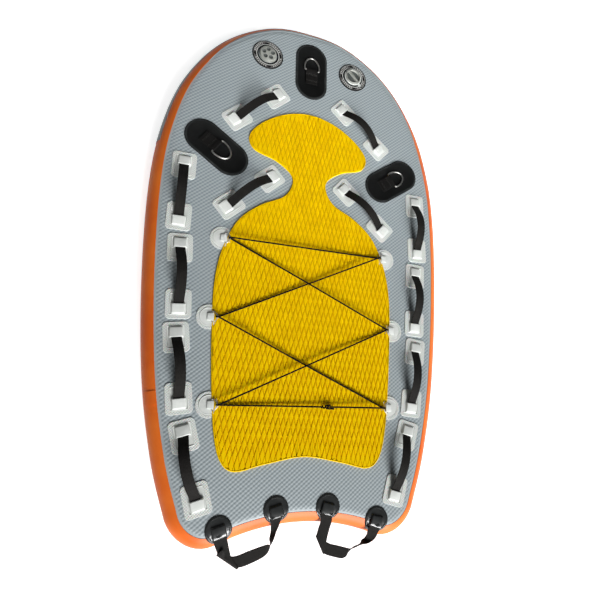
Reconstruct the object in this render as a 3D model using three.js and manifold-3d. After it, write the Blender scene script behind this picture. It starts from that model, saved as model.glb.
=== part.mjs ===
// Inflatable rescue sled, towed behind a personal watercraft.
// Millimetres. +X is starboard, +Y points to the nose, +Z is up, and the sled lies on the floor.
// Positions along the board are measured from the middle pair of bungee patches,
// and the finished sled is then moved so that its own middle is at the origin.
import * as THREE from 'three';
import { mergeVertices } from 'three/addons/utils/BufferGeometryUtils.js';
import Module from 'manifold-3d';

const wasm = await Module();
wasm.setup();

// Hair gap between pieces that touch on the real sled
const GAP = 0.3;

// Hull: a 100 mm drop-stitch board with a full round rail
const HULL = {
  thickness: 100,
  bulge: 38,
  roll: 19,
  flat: 2,
  railSteps: 4,
  coreSteps: 2,
  skin: 1.3,
  curveSteps: 2,
};
const STERN = { radius: 707, centreY: -1264, halfWidth: 262 };
const CORNER = { x: 357, y: -545, sideX: 345, sideY: -588, sternX: 297, sternY: -621 };
const NOSE_Y = 1105;
// Half width of the deck from the stern corner to the nose
const SIDE = [
  [403, -400],
  [447, -180],
  [476, 110],
  [485.5, 400],
  [468, 612],
  [412.5, 809],
  [302.5, 978],
  [150, 1082],
];
const BOW_GUARD = { from: 640, low: 14, high: 66, thickness: 1.2 };

// Foam pad: half of the head and shoulders outline, from the top of the head to the stern
const PAD = { thickness: 5, bevel: 2.4, bevelHeight: 1.8, curveSteps: 2 };
const PAD_TOP_Y = 766;
const PAD_BOTTOM_Y = -405;
const PAD_SIDE = [
  [95, 745],
  [175, 694],
  [218, 636],
  [200, 586],
  [123, 558],
  [70, 520],
  [62, 480],
  [92, 430],
  [171, 386],
  [240, 322],
  [283, 225],
  [302, 115],
  [301, -20],
  [291, -190],
  [276, -330],
  [252, -412],
  [209, -442],
  [120, -424],
];

// Grab handle: two moulded patches joined by an arched webbing strap
const HANDLE = {
  reach: 87.5,
  patchLength: 90,
  patchWidth: 76,
  cornerRadius: 13,
  rim: 2,
  mound: 3.4,
  webWidth: 30,
  webThickness: 2.6,
  webSteps: 8,
  archHeight: 40,
};
// Tunnel of a patch, outwards from the middle of the patch: where it starts and ends,
// half its width and its height, at its foot and at its top
const TUNNEL = {
  foot: { from: -1, to: 32, half: 22, z: 1 },
  top: { from: 1.5, to: 27.5, half: 18, mouthZ: 9.6, endZ: 6.8 },
};
// How far each strap leans over at the top of its arch, from the head of the board aft
const LEAN = { left: [0, 6, 7, -13], right: [-1, -2, -6, -7], headLeft: [4, -2], headRight: [-2, -5] };
// Place and turn of the handles on the port side, which the starboard side mirrors
const SIDE_HANDLES = [
  { x: 422.6, y: 394.3, turn: 0.011 },
  { x: 406.7, y: 119.2, turn: -0.054 },
  { x: 389.4, y: -153.8, turn: -0.122 },
  { x: 333.0, y: -427.0, turn: -0.274 },
];
const HEAD_HANDLES = [
  { x: 197.6, y: 752.0, turn: 0.842 },
  { x: 206.3, y: 429.8, turn: 0.841 },
];

// Tow point: an oblong patch, a webbing tab folded round a bar, and a D-ring
const TOW = {
  length: 234,
  width: 122,
  patch: 2.2,
  ringReach: 53,
  ringHalfWidth: 28,
  wire: 2.75,
  bore: 3.35,
  fold: 5.2,
  tabLength: 58,
  tabWidth: 46,
  tabThickness: 3.2,
};
const TOW_POINTS = [
  { name: 'centre', x: 0, y: 951, heading: 90 },
  { name: 'left', x: -324, y: 567, heading: -35 },
  { name: 'right', x: 324, y: 567, heading: 35 },
];

// Stern patches sit over the edge of the deck and bend with the rail
const STERN_PATCH = {
  radius: 38,
  thickness: 2.4,
  tunnelHeight: 9.5,
  tunnelWidth: 44,
  front: -12,
  mouth: 20,
  slot: 2.1,
};
const STERN_PATCHES = [
  { name: 'left_outer', x: -243, y: -592 },
  { name: 'left_inner', x: -80.5, y: -548 },
  { name: 'right_inner', x: 80.5, y: -548 },
  { name: 'right_outer', x: 243, y: -592 },
];
// Webbing loops: the hinge line runs just outside the mouths of a pair of tunnels
const LOOP = { axis: 21, axisZ: 101, hem: 1.6, thickness: 2.2, drop: 50, dropLength: 122, width: 38 };
// Stations along each loop from its outer tunnel: the outer edge of the webbing and its inner
// edge, each as a distance along the hinge line and a distance aft, and then how far the
// inner edge stands up and the outer one hangs down where the webbing is twisted
const LOOP_PORT = [
  [-19, 0, 19, 0, 0],
  [-18, 14, 19, 14, 0],
  [-13.5, 40, 20.5, 48, 0],
  [8, 72, 23.5, 61, 0],
  [34, 100, 30, 65, 0],
  [69, 101.5, 62, 65, 0],
  [104, 98.5, 98, 65.5, 0],
  [122, 92, 122, 66, 3],
  [138, 76, 131, 65, 13],
  [148, 56, 139, 52, 11],
  [163, 34, 143.5, 32, 5],
  [176, 15, 146, 15, 0],
  [187.4, 0, 149.4, 0, 0],
];
const LOOP_STARBOARD = [
  [-19, 0, 19, 0, 0],
  [-16.5, 14, 20, 14, 0],
  [-15.5, 30, 18, 29, 0],
  [-3.5, 46.5, 23, 43, 5],
  [20, 62.5, 36, 57.5, 15],
  [36, 76.5, 52, 71.5, 15],
  [52, 93, 61, 76, 7],
  [72, 112, 75, 79, 0],
  [100, 113, 100, 79, 0],
  [130, 111.5, 133, 78.5, 0],
  [155, 89, 137, 76, 0],
  [175.5, 66, 139, 69, 0],
  [177.5, 40, 141, 42, 0],
  [181, 18, 144, 18, 0],
  [187.4, 0, 149.4, 0, 0],
];

// Bungee anchors and the cord laced through them
const ANCHOR = {
  radius: 38,
  rim: 2,
  dome: 4.2,
  domeRadius: 27,
  tabFront: 15,
  tabBack: -6,
  tabWidth: 25,
  tabHeight: 9,
  notch: 37,
  barX: 8,
  barZ: 6,
  bore: 2,
  wire: 1.5,
  ringReach: 17.5,
  sides: 14,
  ringHalfWidth: 16,
};
const ANCHORS = [
  { x: 287, y: 254.5 },
  { x: 310.5, y: 0 },
  { x: 293.6, y: -257 },
];
const CORD = { radius: 2.5, turn: 5, low: 7.9, under: 9.9, over: 15.7, sides: 6 };
const KNOT = { x: 62, halfLength: 13, radius: 6, tail: 24 };

// Valves, set in the deck either side of the centre tow point
const VALVE = {
  x: 167.5,
  y: 974.2,
  collar: 57.4,
  collarHole: 34,
  flange: 32.5,
  neck: 20,
  hole: 20.6,
  depth: 56,
  bore: 15,
  seat: 11,
  segments: 14,
};

const material = (color, roughness, metalness = 0) =>
  new THREE.MeshStandardMaterial({ color, roughness, metalness });
const FINISH = {
  core: () => material('#d8d8d2', 0.9),
  deck: () => material('#a2adb1', 0.55),
  bottom: () => material('#8d979b', 0.5),
  rail: () => material('#f0742a', 0.45),
  foam: () => material('#efc90a', 0.8),
  patch: () => material('#dfe0da', 0.35),
  tow: () => material('#1d1f20', 0.7),
  black: () => material('#26292b', 0.3),
  webbing: () => material('#17181a', 0.85),
  steel: () => material('#c9ccce', 0.2, 1),
  cord: () => material('#141414', 0.8),
  valve: () => material('#b9bab3', 0.4),
  collar: () => material('#4b4a49', 0.5),
  rubber: () => material('#303234', 0.8),
};

const sled = new THREE.Group();

// Adds one named piece to the sled, or to a group that already holds its place and turn
function piece(name, geometry, finish, parent = sled) {
  const mesh = new THREE.Mesh(geometry, finish());
  mesh.name = name;
  parent.add(mesh);
  return mesh;
}

function group(x, y, z, turn = 0) {
  const made = new THREE.Group();
  made.position.set(x, y, z);
  made.rotation.z = turn;
  sled.add(made);
  return made;
}

// Turns a closed geometry into a solid that can be joined and cut
function solid(geometry) {
  const bare = geometry.index ? geometry.toNonIndexed() : geometry.clone();
  bare.deleteAttribute('normal');
  bare.deleteAttribute('uv');
  const merged = mergeVertices(bare, 1e-4);
  const corners = merged.index.array;
  const faces = [];
  for (let i = 0; i < corners.length; i += 3) {
    const [a, b, c] = [corners[i], corners[i + 1], corners[i + 2]];
    if (a !== b && b !== c && c !== a) faces.push(a, b, c);
  }
  return new wasm.Manifold(
    new wasm.Mesh({
      numProp: 3,
      vertProperties: merged.attributes.position.array,
      triVerts: new Uint32Array(faces),
    }),
  );
}

function surface(made) {
  const mesh = made.getMesh();
  const geometry = new THREE.BufferGeometry();
  geometry.setAttribute('position', new THREE.BufferAttribute(mesh.vertProperties, 3));
  geometry.setIndex(new THREE.BufferAttribute(mesh.triVerts, 1));
  const flat = geometry.toNonIndexed();
  flat.computeVertexNormals();
  return flat;
}

// A block between two heights, centred on x and y
function block(width, length, low, high, x = 0, y = 0, turn = 0) {
  const box = new THREE.BoxGeometry(width, length, high - low);
  box.rotateZ(turn);
  box.translate(x, y, (low + high) / 2);
  return solid(box);
}

function disc(radius, low, high, x = 0, y = 0, sides = 20) {
  const cylinder = new THREE.CylinderGeometry(radius, radius, high - low, sides);
  cylinder.rotateX(Math.PI / 2);
  cylinder.translate(x, y, (low + high) / 2);
  return solid(cylinder);
}

// A body of revolution about Z from a profile of [radius, height] pairs
function revolve(profile, segments = 20) {
  const points = profile.map(([r, z]) => new THREE.Vector2(r, z));
  const lathe = new THREE.LatheGeometry(points, segments);
  lathe.rotateX(Math.PI / 2);
  return lathe;
}

// Joins rings of equal count, stacked from the bottom up, and closes both ends
function loft(rings) {
  const count = rings[0].length;
  const positions = rings.flat().flatMap((p) => [p.x, p.y, p.z]);
  const faces = [];
  for (let i = 0; i < rings.length - 1; i += 1) {
    for (let j = 0; j < count; j += 1) {
      const k = (j + 1) % count;
      const [a, b, c, d] = [i * count + j, i * count + k, (i + 1) * count + k, (i + 1) * count + j];
      faces.push(a, b, c, a, c, d);
    }
  }
  const top = (rings.length - 1) * count;
  for (let j = 1; j < count - 1; j += 1) {
    faces.push(0, j + 1, j, top, top + j, top + j + 1);
  }
  const geometry = new THREE.BufferGeometry();
  geometry.setAttribute('position', new THREE.Float32BufferAttribute(positions, 3));
  geometry.setIndex(faces);
  return geometry.toNonIndexed();
}

// Rounded rectangle at one height, as a ring for a loft
function roundedRing(length, width, radius, z, steps) {
  const ring = [];
  const corners = [
    [1, 1, 0],
    [-1, 1, 90],
    [-1, -1, 180],
    [1, -1, 270],
  ];
  for (const [sx, sy, start] of corners) {
    for (let k = 0; k <= steps; k += 1) {
      const angle = THREE.MathUtils.degToRad(start + (90 * k) / steps);
      const x = sx * (length / 2 - radius) + radius * Math.cos(angle);
      const y = sy * (width / 2 - radius) + radius * Math.sin(angle);
      ring.push(new THREE.Vector3(x, y, z));
    }
  }
  return ring;
}

// A curve whose steps follow its points, so that tight turns get as many as long runs
class PointedCurve extends THREE.CatmullRomCurve3 {
  getPointAt(t, target) {
    return this.getPoint(t, target);
  }

  getTangentAt(t, target) {
    return this.getTangent(t, target);
  }
}

// A wire bent into a closed loop, one step to each point
function wireLoop(points, radius, sides) {
  const curve = new PointedCurve(points, true, 'centripetal');
  return solid(new THREE.TubeGeometry(curve, points.length, radius, sides, true));
}

// HULL OUTLINE
function mirrored(side, end) {
  const points = side.map(([x, y]) => new THREE.Vector2(x, y));
  const port = side.map(([x, y]) => new THREE.Vector2(-x, y)).reverse();
  return [...points, end, ...port];
}

function deckOutline() {
  const shape = new THREE.Shape();
  const rise = Math.sqrt(STERN.radius ** 2 - STERN.halfWidth ** 2);
  const sternY = STERN.centreY + rise;
  const start = Math.atan2(rise, -STERN.halfWidth);
  shape.moveTo(-STERN.halfWidth, sternY);
  shape.absarc(0, STERN.centreY, STERN.radius, start, Math.PI - start, true);
  shape.bezierCurveTo(CORNER.sternX, CORNER.sternY, CORNER.sideX, CORNER.sideY, CORNER.x, CORNER.y);
  const port = new THREE.Vector2(-CORNER.x, CORNER.y);
  shape.splineThru([...mirrored(SIDE, new THREE.Vector2(0, NOSE_Y)), port]);
  const { sideX, sideY, sternX } = CORNER;
  shape.bezierCurveTo(-sideX, sideY, -sternX, CORNER.sternY, -STERN.halfWidth, sternY);
  return shape;
}

const OUTLINE = deckOutline();

// The whole board as a slab with a rounded rail, grown outwards on every side by grow
function hullSlab(grow, steps = HULL.railSteps) {
  const half = (HULL.thickness - HULL.flat) / 2;
  const slab = new THREE.ExtrudeGeometry(OUTLINE, {
    curveSegments: HULL.curveSteps,
    depth: HULL.flat,
    bevelThickness: half + grow,
    bevelSize: HULL.bulge + HULL.roll + grow,
    bevelOffset: -HULL.roll,
    bevelSegments: steps,
  });
  slab.translate(0, 0, half);
  return solid(slab);
}

// A layer that follows the board, between two distances from its surface
const layer = (inner, outer) => hullSlab(outer).subtract(hullSlab(inner));

const FAR = 3000;
const DECK = HULL.thickness;
// Height at which the side wall meets the deck skin
const SEAM_ANGLE = Math.PI / 2 / HULL.railSteps;
const SEAM_Z = (DECK + HULL.flat) / 2 + ((DECK - HULL.flat) / 2) * Math.cos(SEAM_ANGLE);

function valveHoles(low, high) {
  const port = disc(VALVE.hole, low, high, -VALVE.x, VALVE.y);
  return port.add(disc(VALVE.hole, low, high, VALVE.x, VALVE.y));
}

function buildHull() {
  const core = hullSlab(-HULL.skin - GAP, HULL.coreSteps);
  const bored = core.subtract(valveHoles(DECK - VALVE.depth, DECK + 10));
  piece('drop_stitch_core', surface(bored), FINISH.core);
  const shell = layer(-HULL.skin, 0);
  const deck = shell.intersect(block(FAR, FAR, SEAM_Z + GAP / 2, DECK + 10));
  piece('deck_skin', surface(deck.subtract(valveHoles(0, DECK + 10))), FINISH.deck);
  const bottom = shell.intersect(block(FAR, FAR, -10, DECK - SEAM_Z - GAP / 2));
  piece('bottom_skin', surface(bottom), FINISH.bottom);
  const band = shell.intersect(block(FAR, FAR, DECK - SEAM_Z + GAP / 2, SEAM_Z - GAP / 2));
  piece('rail_band', surface(band), FINISH.rail);
  const wrap = layer(GAP, GAP + BOW_GUARD.thickness);
  const front = block(FAR, FAR, BOW_GUARD.low, BOW_GUARD.high, 0, BOW_GUARD.from + FAR / 2);
  piece('bow_guard', surface(wrap.intersect(front)), FINISH.bottom);
}

// TRACTION PAD
function anchorPlaces() {
  const port = ANCHORS.map(({ x, y }, i) => ({ name: `left_${i + 1}`, x: -x, y, inward: 1 }));
  const starboard = ANCHORS.map(({ x, y }, i) => ({ name: `right_${i + 1}`, x, y, inward: -1 }));
  return [...port, ...starboard];
}

function buildPad() {
  const shape = new THREE.Shape();
  shape.moveTo(0, PAD_BOTTOM_Y);
  const starboard = [...PAD_SIDE].reverse().map(([x, y]) => new THREE.Vector2(x, y));
  const port = PAD_SIDE.map(([x, y]) => new THREE.Vector2(-x, y));
  const [top, bottom] = [PAD_TOP_Y, PAD_BOTTOM_Y].map((y) => new THREE.Vector2(0, y));
  shape.splineThru([...starboard, top, ...port, bottom]);
  const straight = PAD.thickness - PAD.bevelHeight;
  const slab = new THREE.ExtrudeGeometry(shape, {
    curveSegments: PAD.curveSteps,
    depth: 2 * straight,
    bevelThickness: PAD.bevelHeight,
    bevelSize: PAD.bevel,
    bevelOffset: -PAD.bevel,
    bevelSegments: 1,
  });
  slab.translate(0, 0, DECK + GAP - straight);
  let pad = solid(slab).intersect(block(FAR, FAR, DECK + GAP, DECK + 20));
  // The pad lies over the inner part of each bungee patch and is cut back for its tab
  for (const { x, y, inward } of anchorPlaces()) {
    const dish = disc(ANCHOR.radius + GAP, DECK, DECK + GAP + ANCHOR.rim + GAP, x, y, ANCHOR.sides);
    const dome = disc(ANCHOR.domeRadius + 3, DECK, DECK + GAP + ANCHOR.dome + GAP, x, y, ANCHOR.sides);
    const [front, back] = [ANCHOR.tabFront + 1, ANCHOR.tabBack];
    const middle = x + (inward * (front + back)) / 2;
    const notch = block(front - back, ANCHOR.notch, DECK, DECK + 20, middle, y);
    pad = pad.subtract(dish).subtract(dome).subtract(notch);
  }
  piece('traction_pad', surface(pad), FINISH.foam);
}

// GRAB HANDLES
// Side view of a strap: a centre line with half the webbing's thickness on either side
function strapProfile() {
  const { reach, archHeight, webThickness } = HANDLE;
  const half = [
    [reach + 16, 5.5],
    [reach + 2, 6],
    [reach - 14, 13],
    [reach - 34, 25],
    [reach - 58, 35],
  ];
  const centre = [...half, [0, archHeight], ...half.map(([s, z]) => [-s, z]).reverse()];
  const line = new THREE.SplineCurve(centre.map(([s, z]) => new THREE.Vector2(s, z)));
  const above = [];
  const below = [];
  const steps = HANDLE.webSteps;
  for (let i = 0; i <= steps; i += 1) {
    const at = line.getPoint(i / steps);
    const along = line.getTangent(i / steps);
    const side = new THREE.Vector2(-along.y, along.x).multiplyScalar(webThickness / 2);
    above.push(at.clone().add(side));
    below.push(at.clone().sub(side));
  }
  return new THREE.Shape([...above, ...below.reverse()]);
}

// The strap leans over sideways in proportion to its height
function strapSolid(lean) {
  const { webWidth, archHeight } = HANDLE;
  const web = new THREE.ExtrudeGeometry(strapProfile(), { depth: webWidth, bevelEnabled: false });
  web.rotateX(Math.PI / 2);
  web.translate(0, webWidth / 2, 0);
  const shear = new THREE.Matrix4().makeShear(0, 0, 0, 0, 0, lean / archHeight);
  return solid(web.applyMatrix4(shear));
}

// Moulded patch: a flat rim, a raised middle and the tunnel that the webbing goes into
function handlePatch(outward) {
  const { patchLength, patchWidth, cornerRadius, rim, mound } = HANDLE;
  const base = loft([
    roundedRing(patchLength, patchWidth, cornerRadius, 0, 1),
    roundedRing(patchLength, patchWidth, cornerRadius, rim, 1),
    roundedRing(patchLength - 26, patchWidth - 24, cornerRadius - 5, mound, 1),
  ]);
  const { foot, top } = TUNNEL;
  const ring = ({ from, to, half }, mouthZ, endZ) => [
    new THREE.Vector3(from, -half, mouthZ),
    new THREE.Vector3(to, -half, endZ),
    new THREE.Vector3(to, half, endZ),
    new THREE.Vector3(from, half, mouthZ),
  ];
  const tunnel = loft([ring(foot, foot.z, foot.z), ring(top, top.mouthZ, top.endZ)]);
  if (outward < 0) tunnel.rotateZ(Math.PI);
  const made = solid(base).add(solid(tunnel));
  return made.translate([outward * HANDLE.reach, 0, 0]);
}

function buildHandles() {
  const patches = handlePatch(1).add(handlePatch(-1));
  const place = (name, { x, y, turn }, side, lean) => {
    const heading = Math.atan2(-Math.cos(turn), side * Math.sin(turn));
    const geometry = surface(patches.add(strapSolid(lean)));
    piece(name, geometry, FINISH.patch, group(side * x, y, DECK + GAP, heading));
  };
  for (const [label, side, leans, headLeans] of [
    ['left', -1, LEAN.left, LEAN.headLeft],
    ['right', 1, LEAN.right, LEAN.headRight],
  ]) {
    SIDE_HANDLES.forEach((at, i) => place(`handle_${label}_${i + 1}`, at, side, leans[i]));
    HEAD_HANDLES.forEach((at, i) => place(`handle_head_${label}_${i + 1}`, at, side, headLeans[i]));
  }
}

// TOW POINTS
const TOW_TOP = GAP + TOW.patch;
const TOW_BAR_Z = TOW_TOP + GAP + TOW.fold;

function towPatch() {
  const { length, width, patch } = TOW;
  const steps = 4;
  return loft([
    roundedRing(length, width, width / 2 - 0.5, GAP, steps),
    roundedRing(length, width, width / 2 - 0.5, GAP + patch / 2, steps),
    roundedRing(length - 5, width - 5, width / 2 - 3, TOW_TOP, steps),
  ]);
}

// Webbing folded round the bar, with its tail welded to the patch
function towTab() {
  const { tabLength, tabWidth, tabThickness, fold, bore } = TOW;
  const low = TOW_TOP + GAP;
  const shape = new THREE.Shape();
  shape.moveTo(-tabLength, low);
  shape.lineTo(0, low);
  shape.absarc(0, TOW_BAR_Z, fold, -Math.PI / 2, Math.PI * 0.62, false);
  shape.lineTo(-16, low + tabThickness);
  shape.lineTo(-tabLength, low + tabThickness);
  const eye = new THREE.Path();
  eye.absarc(0, TOW_BAR_Z, bore, 0, Math.PI * 2, true);
  shape.holes.push(eye);
  const flat = { depth: tabWidth, bevelEnabled: false, curveSegments: 4 };
  const tab = new THREE.ExtrudeGeometry(shape, flat);
  tab.rotateX(Math.PI / 2);
  tab.translate(0, tabWidth / 2, 0);
  return surface(solid(tab));
}

function towRing() {
  const { ringReach, ringHalfWidth, wire } = TOW;
  const half = [
    [0, 12],
    [0, ringHalfWidth - 4.2],
    [1.4, ringHalfWidth - 1.2],
    [4.6, ringHalfWidth],
    [16, ringHalfWidth],
    [ringReach - 23, ringHalfWidth - 3],
    [ringReach - 11, 18.5],
    [ringReach - 3, 10],
  ];
  const points = [...half, [ringReach, 0], ...half.map(([x, y]) => [x, -y]).reverse()];
  // The bow rests on the patch, so the ring tips down a little from its bar
  const fall = (TOW_BAR_Z - (TOW_TOP + wire + GAP)) / ringReach;
  const route = points.map(([x, y]) => new THREE.Vector3(x, y, TOW_BAR_Z - x * fall));
  return surface(wireLoop(route, wire, 6));
}

function buildTowPoints() {
  const patch = towPatch();
  const tab = towTab();
  const ring = towRing();
  for (const { name, x, y, heading } of TOW_POINTS) {
    const place = group(x, y, DECK, THREE.MathUtils.degToRad(heading));
    piece(`tow_patch_${name}`, patch, FINISH.tow, place);
    piece(`tow_tab_${name}`, tab, FINISH.webbing, place);
    piece(`tow_ring_${name}`, ring, FINISH.steel, place);
  }
}

// STERN PATCHES AND LOOPS
// Hinge line of the port loop: from the outer tunnel to the inner one, and straight aft of it
const [OUTER_PATCH, INNER_PATCH] = STERN_PATCHES.map(({ x, y }) => new THREE.Vector2(x, y));
const HINGE_TURN = INNER_PATCH.clone().sub(OUTER_PATCH).angle();

// The starboard side mirrors the port side, so its hinge line leans the other way
function sternFrame(x) {
  const turn = -Math.sign(x) * HINGE_TURN;
  return { turn, aft: new THREE.Vector2(Math.sin(turn), -Math.cos(turn)) };
}

function hingeRod(x, y, radius, length) {
  const { turn, aft } = sternFrame(x);
  const rod = new THREE.CylinderGeometry(radius, radius, length, 10);
  rod.rotateZ(Math.PI / 2 + turn);
  rod.translate(x + aft.x * LOOP.axis, y + aft.y * LOOP.axis, LOOP.axisZ);
  return solid(rod);
}

function buildSternPatches() {
  const { radius, thickness, tunnelHeight, tunnelWidth, front, mouth, slot } = STERN_PATCH;
  const base = layer(GAP, GAP + thickness);
  const raised = layer(GAP, GAP + tunnelHeight);
  for (const { name, x, y } of STERN_PATCHES) {
    const { turn, aft } = sternFrame(x);
    const middle = (front + mouth) / 2;
    const [cx, cy] = [x + aft.x * middle, y + aft.y * middle];
    const column = block(tunnelWidth, mouth - front, 40, DECK + 20, cx, cy, turn);
    const round = disc(radius, 40, DECK + 20, x, y, 18);
    const tunnel = raised.intersect(column).subtract(hingeRod(x, y, slot, tunnelWidth - 3));
    piece(`stern_patch_${name}`, surface(base.intersect(round).add(tunnel)), FINISH.black);
  }
}

// The webbing leaves the tunnels downhill over the rail and then levels out
const loopFall = (away) => LOOP.drop * (1 - Math.exp(-away / LOOP.dropLength));

// Flat webbing swept through its stations, with a hem in the mouth of each tunnel
function loopGeometry(stations, side) {
  const edge = (u, w, rise) => new THREE.Vector3(-side * u, -w, rise - loopFall(w));
  const outer = stations.map(([u, w, , , twist]) => edge(u, w, -twist));
  const inner = stations.map(([, , u, w, twist]) => edge(u, w, twist));
  const centre = outer.map((p, i) => p.clone().lerp(inner[i], 0.5));
  const last = centre.length - 1;
  const rings = centre.map((_, i) => {
    const along = centre[Math.min(i + 1, last)].clone().sub(centre[Math.max(i - 1, 0)]);
    const across = outer[i].clone().sub(inner[i]);
    const up = along.cross(across).setLength(LOOP.thickness / 2);
    return [
      outer[i].clone().add(up),
      inner[i].clone().add(up),
      inner[i].clone().sub(up),
      outer[i].clone().sub(up),
    ];
  });
  let made = solid(loft(rings));
  for (const end of [centre[0], centre[last]]) {
    const hem = new THREE.CylinderGeometry(LOOP.hem, LOOP.hem, LOOP.width, 8);
    hem.rotateZ(Math.PI / 2);
    hem.translate(end.x, end.y, end.z);
    made = made.add(solid(hem));
  }
  return surface(made);
}

function buildSternLoops() {
  for (const [name, side, stations] of [['left', -1, LOOP_PORT], ['right', 1, LOOP_STARBOARD]]) {
    const outer = STERN_PATCHES[side < 0 ? 0 : 3];
    const { turn, aft } = sternFrame(outer.x);
    const place = group(outer.x + aft.x * LOOP.axis, outer.y + aft.y * LOOP.axis, LOOP.axisZ, turn);
    piece(`stern_loop_${name}`, loopGeometry(stations, side), FINISH.webbing, place);
  }
}

// BUNGEE
function anchorPatch() {
  const { radius, rim, dome, domeRadius, barX, barZ, bore } = ANCHOR;
  const { tabFront, tabBack, tabWidth, tabHeight } = ANCHOR;
  const profile = [
    [0, 0],
    [radius, 0],
    [radius - 1, rim],
    [domeRadius + 2, rim],
    [domeRadius - 1, dome],
    [0, dome],
  ];
  const tab = block(tabFront - tabBack, tabWidth, 1, tabHeight, (tabFront + tabBack) / 2, 0);
  const rod = new THREE.CylinderGeometry(bore, bore, tabWidth + 10, 6);
  rod.translate(barX, 0, barZ);
  return surface(solid(revolve(profile, ANCHOR.sides)).add(tab).subtract(solid(rod)));
}

// The cord passes under and over the bow of the ring and holds it up at a slant
const BOW_Z = CORD.low + CORD.turn;

function anchorRing() {
  const { wire, ringReach, ringHalfWidth, barX, barZ } = ANCHOR;
  const half = [
    [0, 6],
    [0, ringHalfWidth - 2.5],
    [2.5, ringHalfWidth],
    [8, ringHalfWidth - 1],
    [ringReach - 2.5, 5.5],
  ];
  const points = [...half, [ringReach, 0], ...half.map(([x, y]) => [x, -y]).reverse()];
  const rise = (BOW_Z - GAP - barZ) / ringReach;
  const route = points.map(([x, y]) => new THREE.Vector3(barX + x, y, barZ + x * rise));
  return surface(wireLoop(route, wire, 5));
}

function buildAnchors() {
  const patch = anchorPatch();
  const ring = anchorRing();
  for (const { name, x, y, inward } of anchorPlaces()) {
    const place = group(x, y, DECK + GAP, inward > 0 ? 0 : Math.PI);
    piece(`bungee_patch_${name}`, patch, FINISH.patch, place);
    piece(`bungee_ring_${name}`, ring, FINISH.steel, place);
  }
}

// Middle of the bow of each ring, port and starboard, from the front pair aft
function bow(side, index) {
  const { x, y } = ANCHORS[index];
  return new THREE.Vector2(side * (x - ANCHOR.barX - ANCHOR.ringReach), y);
}

function cordRoute() {
  const port = [bow(-1, 0), bow(-1, 1), bow(-1, 2)];
  const starboard = [bow(1, 0), bow(1, 1), bow(1, 2)];
  const knotY = port[2].y;
  const knotPort = new THREE.Vector2(KNOT.x - KNOT.halfLength - GAP, knotY);
  const knotStarboard = new THREE.Vector2(KNOT.x + KNOT.halfLength + GAP, knotY);
  const [left1, left2, left3] = port;
  const [right1, right2, right3] = starboard;
  const stops = [knotPort, left3, right2, left1, right1, left2, right3, knotStarboard];
  // Height of each run where it crosses another, or half way
  const middles = [null, CORD.over, CORD.over, BOW_Z, CORD.under, CORD.under, null];
  const high = BOW_Z + CORD.turn;
  const route = [];
  const push = (p, z) => route.push(new THREE.Vector3(p.x, p.y, z));
  const towards = (from, to, distance) => {
    const step = to.clone().sub(from).normalize().multiplyScalar(distance);
    return from.clone().add(step);
  };
  push(knotPort, BOW_Z);
  for (let i = 1; i < stops.length - 1; i += 1) {
    const [before, here, after] = [stops[i - 1], stops[i], stops[i + 1]];
    const outward = new THREE.Vector2(Math.sign(here.x), 0);
    push(towards(here, before, 45), CORD.low + 0.4);
    push(here, CORD.low);
    push(here.clone().addScaledVector(outward, CORD.turn * 0.72), BOW_Z - CORD.turn * 0.7);
    push(here.clone().addScaledVector(outward, CORD.turn), BOW_Z);
    push(here.clone().addScaledVector(outward, CORD.turn * 0.72), BOW_Z + CORD.turn * 0.7);
    push(here, high);
    push(towards(here, after, 45), high - 1.2);
    if (middles[i] !== null) {
      push(here.clone().lerp(after, 0.5), middles[i]);
    }
  }
  push(knotStarboard, BOW_Z);
  return route.map((p) => p.setZ(p.z + DECK + GAP));
}

function buildCord() {
  const route = cordRoute();
  const section = new THREE.Shape();
  section.absarc(0, 0, CORD.radius, 0, Math.PI * 2, false);
  const cord = new THREE.ExtrudeGeometry(section, {
    curveSegments: CORD.sides / 2,
    steps: route.length - 1,
    extrudePath: new PointedCurve(route, false, 'centripetal'),
  });
  piece('bungee_cord', surface(solid(cord)), FINISH.cord);
  const knot = new THREE.SphereGeometry(1, 8, 6);
  knot.scale(KNOT.halfLength, KNOT.radius, KNOT.radius);
  let made = solid(knot);
  // Both ends come out of the knot on the starboard side and lie along the cord
  for (const [side, length] of [[-1, KNOT.tail], [1, KNOT.tail / 2]]) {
    const tail = new THREE.CylinderGeometry(CORD.radius, CORD.radius, length, 6);
    tail.rotateZ(Math.PI / 2);
    tail.translate(KNOT.halfLength - 6 + length / 2, side * (2 * CORD.radius + GAP), 0);
    made = made.add(solid(tail));
  }
  const place = group(KNOT.x, bow(-1, 2).y, DECK + GAP + BOW_Z);
  piece('bungee_knot', surface(made), FINISH.cord, place);
}

// VALVES
function collarGeometry() {
  return revolve(
    [
      [VALVE.collarHole, GAP],
      [VALVE.collar, GAP],
      [VALVE.collar - 0.8, GAP + 1.5],
      [VALVE.collarHole + 0.8, GAP + 1.5],
      [VALVE.collarHole, GAP],
    ],
    VALVE.segments,
  );
}

// Flange on the deck, neck into the air chamber, a seat at the foot and a spoked guide for the stem
function valveBody(guide) {
  const { flange, neck, bore, seat, segments } = VALVE;
  const shell = revolve(
    [
      [seat, -40],
      [neck, -40],
      [neck, GAP],
      [flange, GAP],
      [flange, 2],
      [flange - 1.2, 3],
      [bore, 3],
      [bore, -36],
      [seat, -36],
      [seat, -40],
    ],
    segments,
  );
  let made = solid(shell);
  const across = block(2 * bore + 2, 3, guide - 4, guide);
  const along = block(3, 2 * bore + 2, guide - 4, guide);
  const hub = disc(7, guide - 4, guide, 0, 0, 12);
  made = made.add(across).add(along).add(hub);
  made = made.subtract(disc(4.1, guide - 6, guide + 2, 0, 0, 12));
  return surface(made);
}

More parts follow.
